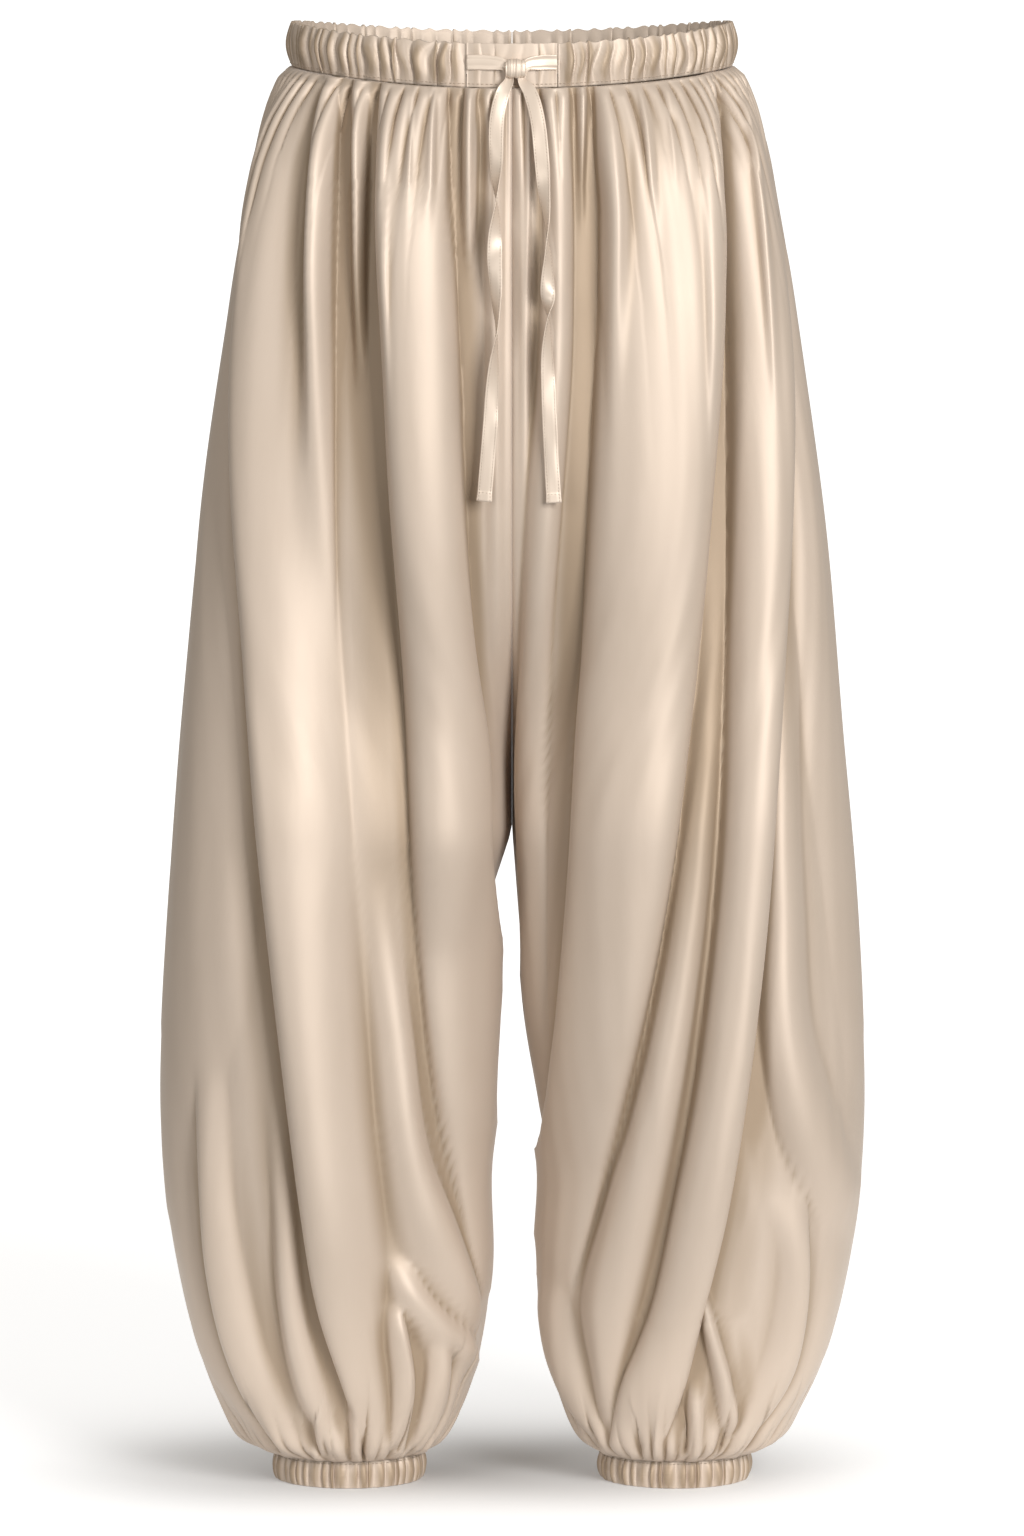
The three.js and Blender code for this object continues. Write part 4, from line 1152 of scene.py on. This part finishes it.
@dataclass
class WaistCasing:
    """The elastic casing: two gathered halves, and the flat stretch that the ties cross."""

    waist: Waist = Waist()
    gap_angle: float = 0.208
    thickness: float = 1.4
    gathers: float = 47.0
    columns_each: int = 11
    ring: int = 44
    stitch_share: float = 0.1
    base: float = 0.3
    bulge: float = 4.6
    inner_bulge: float = 1.28
    # columns to either side, for the mask of the painted groove shade
    hollow_steps: tuple[int, ...] = (2, 4, 6)
    front_gathers: float = 7.0
    front_rise: float = 0.22
    rows: list[Array] = field(default_factory=list)

    def outward(self, phase: Array, share: Array, sign: float) -> Array:
        """How far the gathered outside bulges, in millimetres.

        Each gather is a hump, uneven in size, pinched at the bottom seam and less so at the top. It
        leans by a ripple's amount, and a smaller wave of half its width lies on it.

        Args:
            phase: The gathers counted round the casing.
            share: The height's share from the seam to the top.
            sign: The side's sign, for a different scatter.

        Returns:
            The bulge.
        """
        lean = 0.8 * (share - 0.5) * ripple(phase * 0.9, 0 * phase, 1.0 + sign)
        lean = lean + 0.12 * np.sin(6.3 * share + 2.5 * ripple(phase * 0.7, 0 * phase, 2.0 + sign))
        shifted = phase + lean
        number = np.floor(shifted)
        size = 0.5 + 0.65 * hashed(number, 2.0 + sign)
        second = 0.22 * np.sin(4 * np.pi * shifted + 6 * hashed(number, 3.0)) * (0.4 + share)
        puff = np.sin(np.pi * np.clip(0.05 + 0.88 * share, 0, 1))
        return (self.base + self.bulge * (hump(shifted, 0.75) * size + 0.2 * second)) * puff

    def build_part(
        self, part: str, low: float, high: float, gathers: float, rise: float, sign: float, finish: Finish
    ) -> None:
        """One stretch of the casing, closed round its cross-section and capped at both ends.

        The cross-section runs up the outside, over the top, down the inside and back under. The
        outside is pushed out by the gathers and the inside by shallower ones.

        Args:
            part: Its word in the piece's and the CAD node's names.
            low: The angle from the middle of the front where it starts.
            high: The angle where it ends.
            gathers: How many gathers it has.
            rise: The gathers' size, 1 on the elastic stretches.
            sign: 1 or -1, the side it is on.
            finish: The satin.
        """
        count = int(gathers * self.columns_each) + 1
        phase = np.linspace(0, gathers, count)
        place = uneven(phase)
        angle = low + (high - low) * (place - place[0]) / (place[-1] - place[0])
        share, is_out = casing_section(self.ring, 0.42)
        grid_phase, grid_share = np.meshgrid(phase, share)
        outer = self.thickness * (0.45 if rise < 1 else 0.6) + self.outward(grid_phase, grid_share, sign) * rise
        inner = self.inner_bulge * rise * hump(grid_phase, 0.8) * np.sin(np.pi * np.clip(grid_share, 0.05, 0.95))
        out = is_out[:, None] * outer - (1 - is_out[:, None]) * inner
        ends = np.minimum(grid_phase, gathers - grid_phase)
        out = np.where(out > 0, out * smooth(0.25 + ends / 0.6), out)
        lip = rise * 1.5 * (0.45 - hump(grid_phase + 0.5, 1.5)) * smooth((grid_share - 0.75) / 0.25)
        z = self.waist.seam(angle)[None, :] + grid_share * self.waist.height + lip
        points = self.waist.oval(sign * angle[None, :].repeat(self.ring, 0), out, z)
        uv = np.stack([arc_lengths(points, 1), arc_lengths(points, 0)], axis=-1) * MM
        row = int(np.argmin(np.abs(share[: self.ring // 2] - self.stitch_share)))
        spokes = self.waist.oval(sign * angle, 1.0, 0.0) - self.waist.oval(sign * angle, 0.0, 0.0)
        self.rows.append(Sewing().lay(points[row], spokes))
        faces = grid_faces(self.ring, count, closed_rows=True)
        if sign > 0:
            faces = faces[:, ::-1]
        start = (np.arange(self.ring) * count).tolist()
        end = (np.arange(self.ring) * count + count - 1).tolist()
        caps = [start[::-1] if sign < 0 else start, end if sign < 0 else end[::-1]]
        piece = make_piece(f"casing_{part}", points, faces, uv, caps)
        mark_painted_groove_shade(piece, points, self.hollow_steps, full=0.5)
        dress(piece, finish, f"waistband_{part}")

    def build(self, finish: Finish, thread: Finish) -> None:
        """The gathered halves, the flat front, and the seam's stitches."""
        gap = 0.15 / self.waist.half_depth
        low, high = self.gap_angle + gap, math.pi - gap
        for side in Side:
            self.build_part(side.word, low, high, self.gathers, 1.0, side.value, finish)
        high = self.gap_angle - gap
        self.build_part("front", -high, high, self.front_gathers, self.front_rise, 1.0, finish)
        Sewing().sew("casing_stitches", self.rows, thread)


@dataclass
class AnkleCuff:
    """A round elastic casing at the ankle, closely gathered."""

    side: Side
    centre: float = 112.0
    radius: float = 49.2
    top: float = -964.0
    height: float = 19.0
    gathers: int = 48
    columns_each: int = 10
    ring: int = 36
    stitch_share: float = 0.86
    base: float = 0.3
    bulge: float = 4.0
    inner_bulge: float = 0.7
    # columns to either side, for the mask of the painted groove shade
    hollow_steps: tuple[int, ...] = (2, 3, 5)

    def build(self, finish: Finish, thread: Finish) -> None:
        """The cuff: rounded ribs round a ring, the cross-section closed over the top and under the bottom."""
        count = self.gathers * self.columns_each
        phase = np.arange(count) / self.columns_each
        angle = 2 * np.pi * uneven(phase) / uneven(self.gathers)
        share, is_out = casing_section(self.ring, 0.43)
        grid_phase, grid_share = np.meshgrid(phase, share)
        number = np.floor(grid_phase)
        lean = 0.3 * (hashed(number, 8.0 + self.side.value) - 0.5) * (grid_share - 0.5)
        crest = hump(grid_phase + lean, 0.7)
        size = 0.6 + 0.55 * hashed(number, 9.0 + self.side.value)
        puff = np.sin(np.pi * np.clip(0.12 + 0.82 * grid_share, 0, 1)) ** 0.8
        outer = self.base + self.bulge * crest * size * puff
        out = is_out[:, None] * outer - (1 - is_out[:, None]) * self.inner_bulge * crest
        edge = 0.7 * (crest - 0.5) * (smooth((0.2 - grid_share) / 0.2) + smooth((grid_share - 0.8) / 0.2))
        pulled = np.where(grid_share > 0.5, -np.abs(edge) * 0.4, np.abs(edge))
        z = self.top - self.height + grid_share * self.height + pulled
        radius = self.radius + out
        x = self.side.value * self.centre + radius * np.sin(angle)
        points = np.stack([x, -radius * np.cos(angle), z], axis=-1)
        uv = np.stack([arc_lengths(points, 1), arc_lengths(points, 0)], axis=-1) * MM
        faces = grid_faces(self.ring, count, closed_rows=True, closed_columns=True)[:, ::-1]
        row = int(np.argmin(np.abs(share[: self.ring // 2] - self.stitch_share)))
        spokes = np.stack([np.sin(angle), -np.cos(angle), np.zeros(count)], axis=-1)
        seam = Sewing().lay(points[row], spokes, closed=True)
        Sewing().sew(f"cuff_stitches_{self.side.word}", [seam], thread)
        piece = make_piece(f"ankle_cuff_{self.side.word}", points, faces, uv)
        mark_painted_groove_shade(piece, points, self.hollow_steps, full=0.5, closed=True)
        dress(piece, finish, f"cuff_{self.side.word}")


@dataclass
class Tie:
    """One end of the drawstring: a flat strip from the casing's exit, through the knot, to its hem."""

    side: Side
    route: tuple[Triple, ...]
    turns: tuple[float, ...]
    width: float = 10.0
    thickness: float = 1.0
    steps: int = 330
    around: int = 26
    readings: int = 4000
    knot_narrowing: float = 0.42
    knot_reach: float = 11.0
    hem_length: float = 6.5

    def path(self, count: int) -> tuple[Array, Array]:
        """Evenly spaced points of a smooth curve through the route, and the strip's turn at each.

        Args:
            count: How many points.

        Returns:
            The points, and the turns about the path in radians.
        """
        knots = np.array(self.route, float)
        length = running_length(knots)
        fine = np.linspace(0, length[-1], self.readings)
        line = np.stack([curve(length, knots[:, k], fine) for k in range(3)], axis=-1)
        run = running_length(line)
        even = np.linspace(0, run[-1], count)
        return read_line(line, run, even), np.radians(np.interp(even, run, curve(length, self.turns, fine)))

    def frames(self, count: int) -> tuple[Array, Array, Array, Array]:
        """The path's points, the strip's directions across and through it there, and the distances along it."""
        points, turn = self.path(count)
        along = unit(np.gradient(points, axis=0))
        across = unit(np.cross(np.broadcast_to(np.array([0.0, -1.0, 0.0]), along.shape), along))
        through = np.cross(along, across)
        c, s = np.cos(turn)[:, None], np.sin(turn)[:, None]
        return points, across * c + through * s, through * c - across * s, running_length(points)

    def build(self, finish: Finish, thread: Finish, knot: Piece) -> None:
        """The strip: a rounded flat section carried along the path, narrowed and folded in the knot.

        Its stitches run along both edges on both faces, and across both faces at the hem.
        """
        points, across, through, run = self.frames(self.steps)
        angle = np.linspace(0, 2 * np.pi, self.around, endpoint=False)
        total = run[-1]
        into = np.exp(-(((run - self.knot_at) / self.knot_reach) ** 2))
        half = self.width / 2 * (1 - self.knot_narrowing * into)
        cupped = 0.5 * np.sin(run / 13.0 + self.side.value) + 0.35 * np.sin(run / 5.3)
        flare = smooth((run - total + 7) / 7)
        sx, sy = squared(np.cos(angle), 0.55), squared(np.sin(angle), 0.7)
        seam = 1 - 0.35 * np.exp(-(((np.abs(sx) - 0.76) / 0.05) ** 2))
        wide = half[:, None] * (1 + 0.07 * flare[:, None]) * sx
        run_part = smooth((self.knot_at - run) / 6)[:, None]
        crease = 0.9 * np.exp(-(((sx - 0.3) / 0.22) ** 2)) - 0.5 * np.exp(-(((sx + 0.35) / 0.25) ** 2))
        bend = (cupped[:, None] * 0.8 + 1.4 * into[:, None]) * (sx**2 - 0.3) + run_part * crease
        hem = 1 + 0.5 * smooth((run - total + self.hem_length) / 0.8)[:, None]
        thick = self.thickness / 2 * sy * seam * hem + bend
        grid = points[:, None, :] + across[:, None, :] * wide[..., None] + through[:, None, :] * thick[..., None]
        uv = np.stack([np.broadcast_to(wide, thick.shape), np.broadcast_to(run[:, None], thick.shape)], axis=-1) * MM
        faces = grid_faces(self.steps, self.around, closed_columns=True)
        sewing = Sewing(pitch=2.2, length=1.5, radius=0.17, rings=5, around=5)
        rows = []
        free = run > self.knot_at + 14
        for sign in (1.0, -1.0):
            upper = np.flatnonzero(sy * sign > 0.3)
            for edge in (0.74, -0.74):
                column = int(upper[np.argmin(np.abs(sx[upper] - edge))])
                rows.append(sewing.lay(grid[free, column], through[free] * sign))
            last = int(np.argmin(np.abs(run - (total - self.hem_length + 1))))
            line = grid[last, upper][np.argsort(sx[upper])][1:-1]
            rows.append(sewing.lay(line, np.repeat(through[last : last + 1] * sign, len(line), axis=0)))
        sewing.sew(f"tie_stitches_{self.side.word}", rows, thread)
        piece = make_piece(f"tie_{self.side.word}", grid, faces, uv, end_caps(self.steps, self.around))
        dress(piece, finish, f"tie_run_{self.side.word}", f"tie_tail_{self.side.word}")
        LOG.info("%s: %.0f mm long", piece.name, total)

    @property
    def knot_at(self) -> float:
        """The distance along the tie at which it passes the knot."""
        return float(running_length(np.array(self.route[:4], float))[-1]) - 2.0


@dataclass
class Knot:
    """The ties' overhand knot: a wrapped block with the creases of the strip that crosses it."""

    centre: Triple = (2.4, -101.0, -14.6)
    half_width: float = 6.8
    half_depth: float = 4.6
    half_height: float = 6.4
    rings: int = 60
    around: int = 64

    def build(self, finish: Finish) -> Piece:
        """The knot: squared rings that swell towards the middle, with upright creases and pinched ends."""
        t = np.linspace(-1, 1, self.rings)[:, None]
        angle = np.linspace(0, 2 * np.pi, self.around, endpoint=False)[None, :]
        swell = 0.74 + 0.26 * np.cos(np.pi / 2 * t) ** 0.5
        crease = 1 + 0.05 * np.sin(9.5 * t + 0.8 * np.sin(angle)) + 0.03 * np.sin(23 * t + 1.5 * np.sin(angle + 1))
        y, z = squared(np.cos(angle), 0.75), squared(np.sin(angle), 0.75)
        x = t + 0.10 * np.sin(angle) * np.cos(np.pi / 2 * t)
        grid = np.stack(np.broadcast_arrays(
            self.centre[0] + self.half_width * x, self.centre[1] + self.half_depth * swell * crease * y,
            self.centre[2] + self.half_height * swell * crease * z), axis=-1)
        uv = np.stack(np.broadcast_arrays(angle * 6.0, t * 7.0), axis=-1) * MM
        faces = grid_faces(self.rings, self.around, closed_columns=True)
        piece = make_piece("knot_of_ties", grid, faces, uv, end_caps(self.rings, self.around))
        dress(piece, finish, "tie_knot")
        return piece


TIE_ROUTES: dict[Side, tuple[tuple[Triple, ...], tuple[float, ...]]] = {
    Side.RIGHT: (
        ((-30.2, -95.4, -10.5), (-17.5, -96.6, -10.6), (-4.7, -99.4, -12.6), (-1.4, -101, -21.4), (-6, -106, -30),
         (-10, -112, -48), (-10.6, -120, -74),
         (-10.3, -125.5, -101), (-11.6, -127, -134), (-10.6, -127, -165), (-10.4, -127, -190), (-12.6, -126, -220),
         (-14.4, -124.5, -250), (-16.6, -123, -278), (-18.6, -122, -302)),
        (0, 0, 0, 20, 0, 0, 25, 90, 175, 225, 272, 325, 352, 360, 368),
    ),
    Side.LEFT: (
        ((30.2, -95.4, -10.5), (19.9, -96.6, -10.6), (9.5, -99.4, -12.6), (6.4, -101, -21.4), (12, -106, -30),
         (17, -113, -48), (19.8, -120, -74),
         (21.8, -125.5, -101), (23.6, -128, -127), (23.8, -128.5, -160), (24, -128, -178), (23.6, -127, -204),
         (24.6, -125.5, -235), (26.2, -124, -270), (28, -123, -303)),
        (0, 0, 0, -20, 0, 0, 5, 45, 95, 170, 268, 322, 352, 360, 356),
    ),
}


def main() -> None:
    """Builds the studio, the ties, the casing, the legs and the cuffs."""
    logging.basicConfig(level=logging.INFO, format="%(name)s %(message)s")
    studio = Studio()
    studio.place_camera()
    satin = Satin().build()
    thread = Thread().build()
    # The ties' satin is the same cloth, glossier and painted lighter than the panels' satin, painted light that makes
    # the ties look brighter.
    painted_lit_tie_satin = Satin("champagne_satin_tie", (0.70, 0.59, 0.49), (0.64, 0.53, 0.43), roughness=0.42).build()
    knot = Knot().build(painted_lit_tie_satin)
    for side, (route, turns) in TIE_ROUTES.items():
        Tie(side, route, turns).build(painted_lit_tie_satin, thread, knot)
    WaistCasing().build(satin, thread)
    Legs().build(satin)
    for side in Side:
        AnkleCuff(side).build(satin, thread)
    studio.build()


if __name__ == "__main__":
    main()
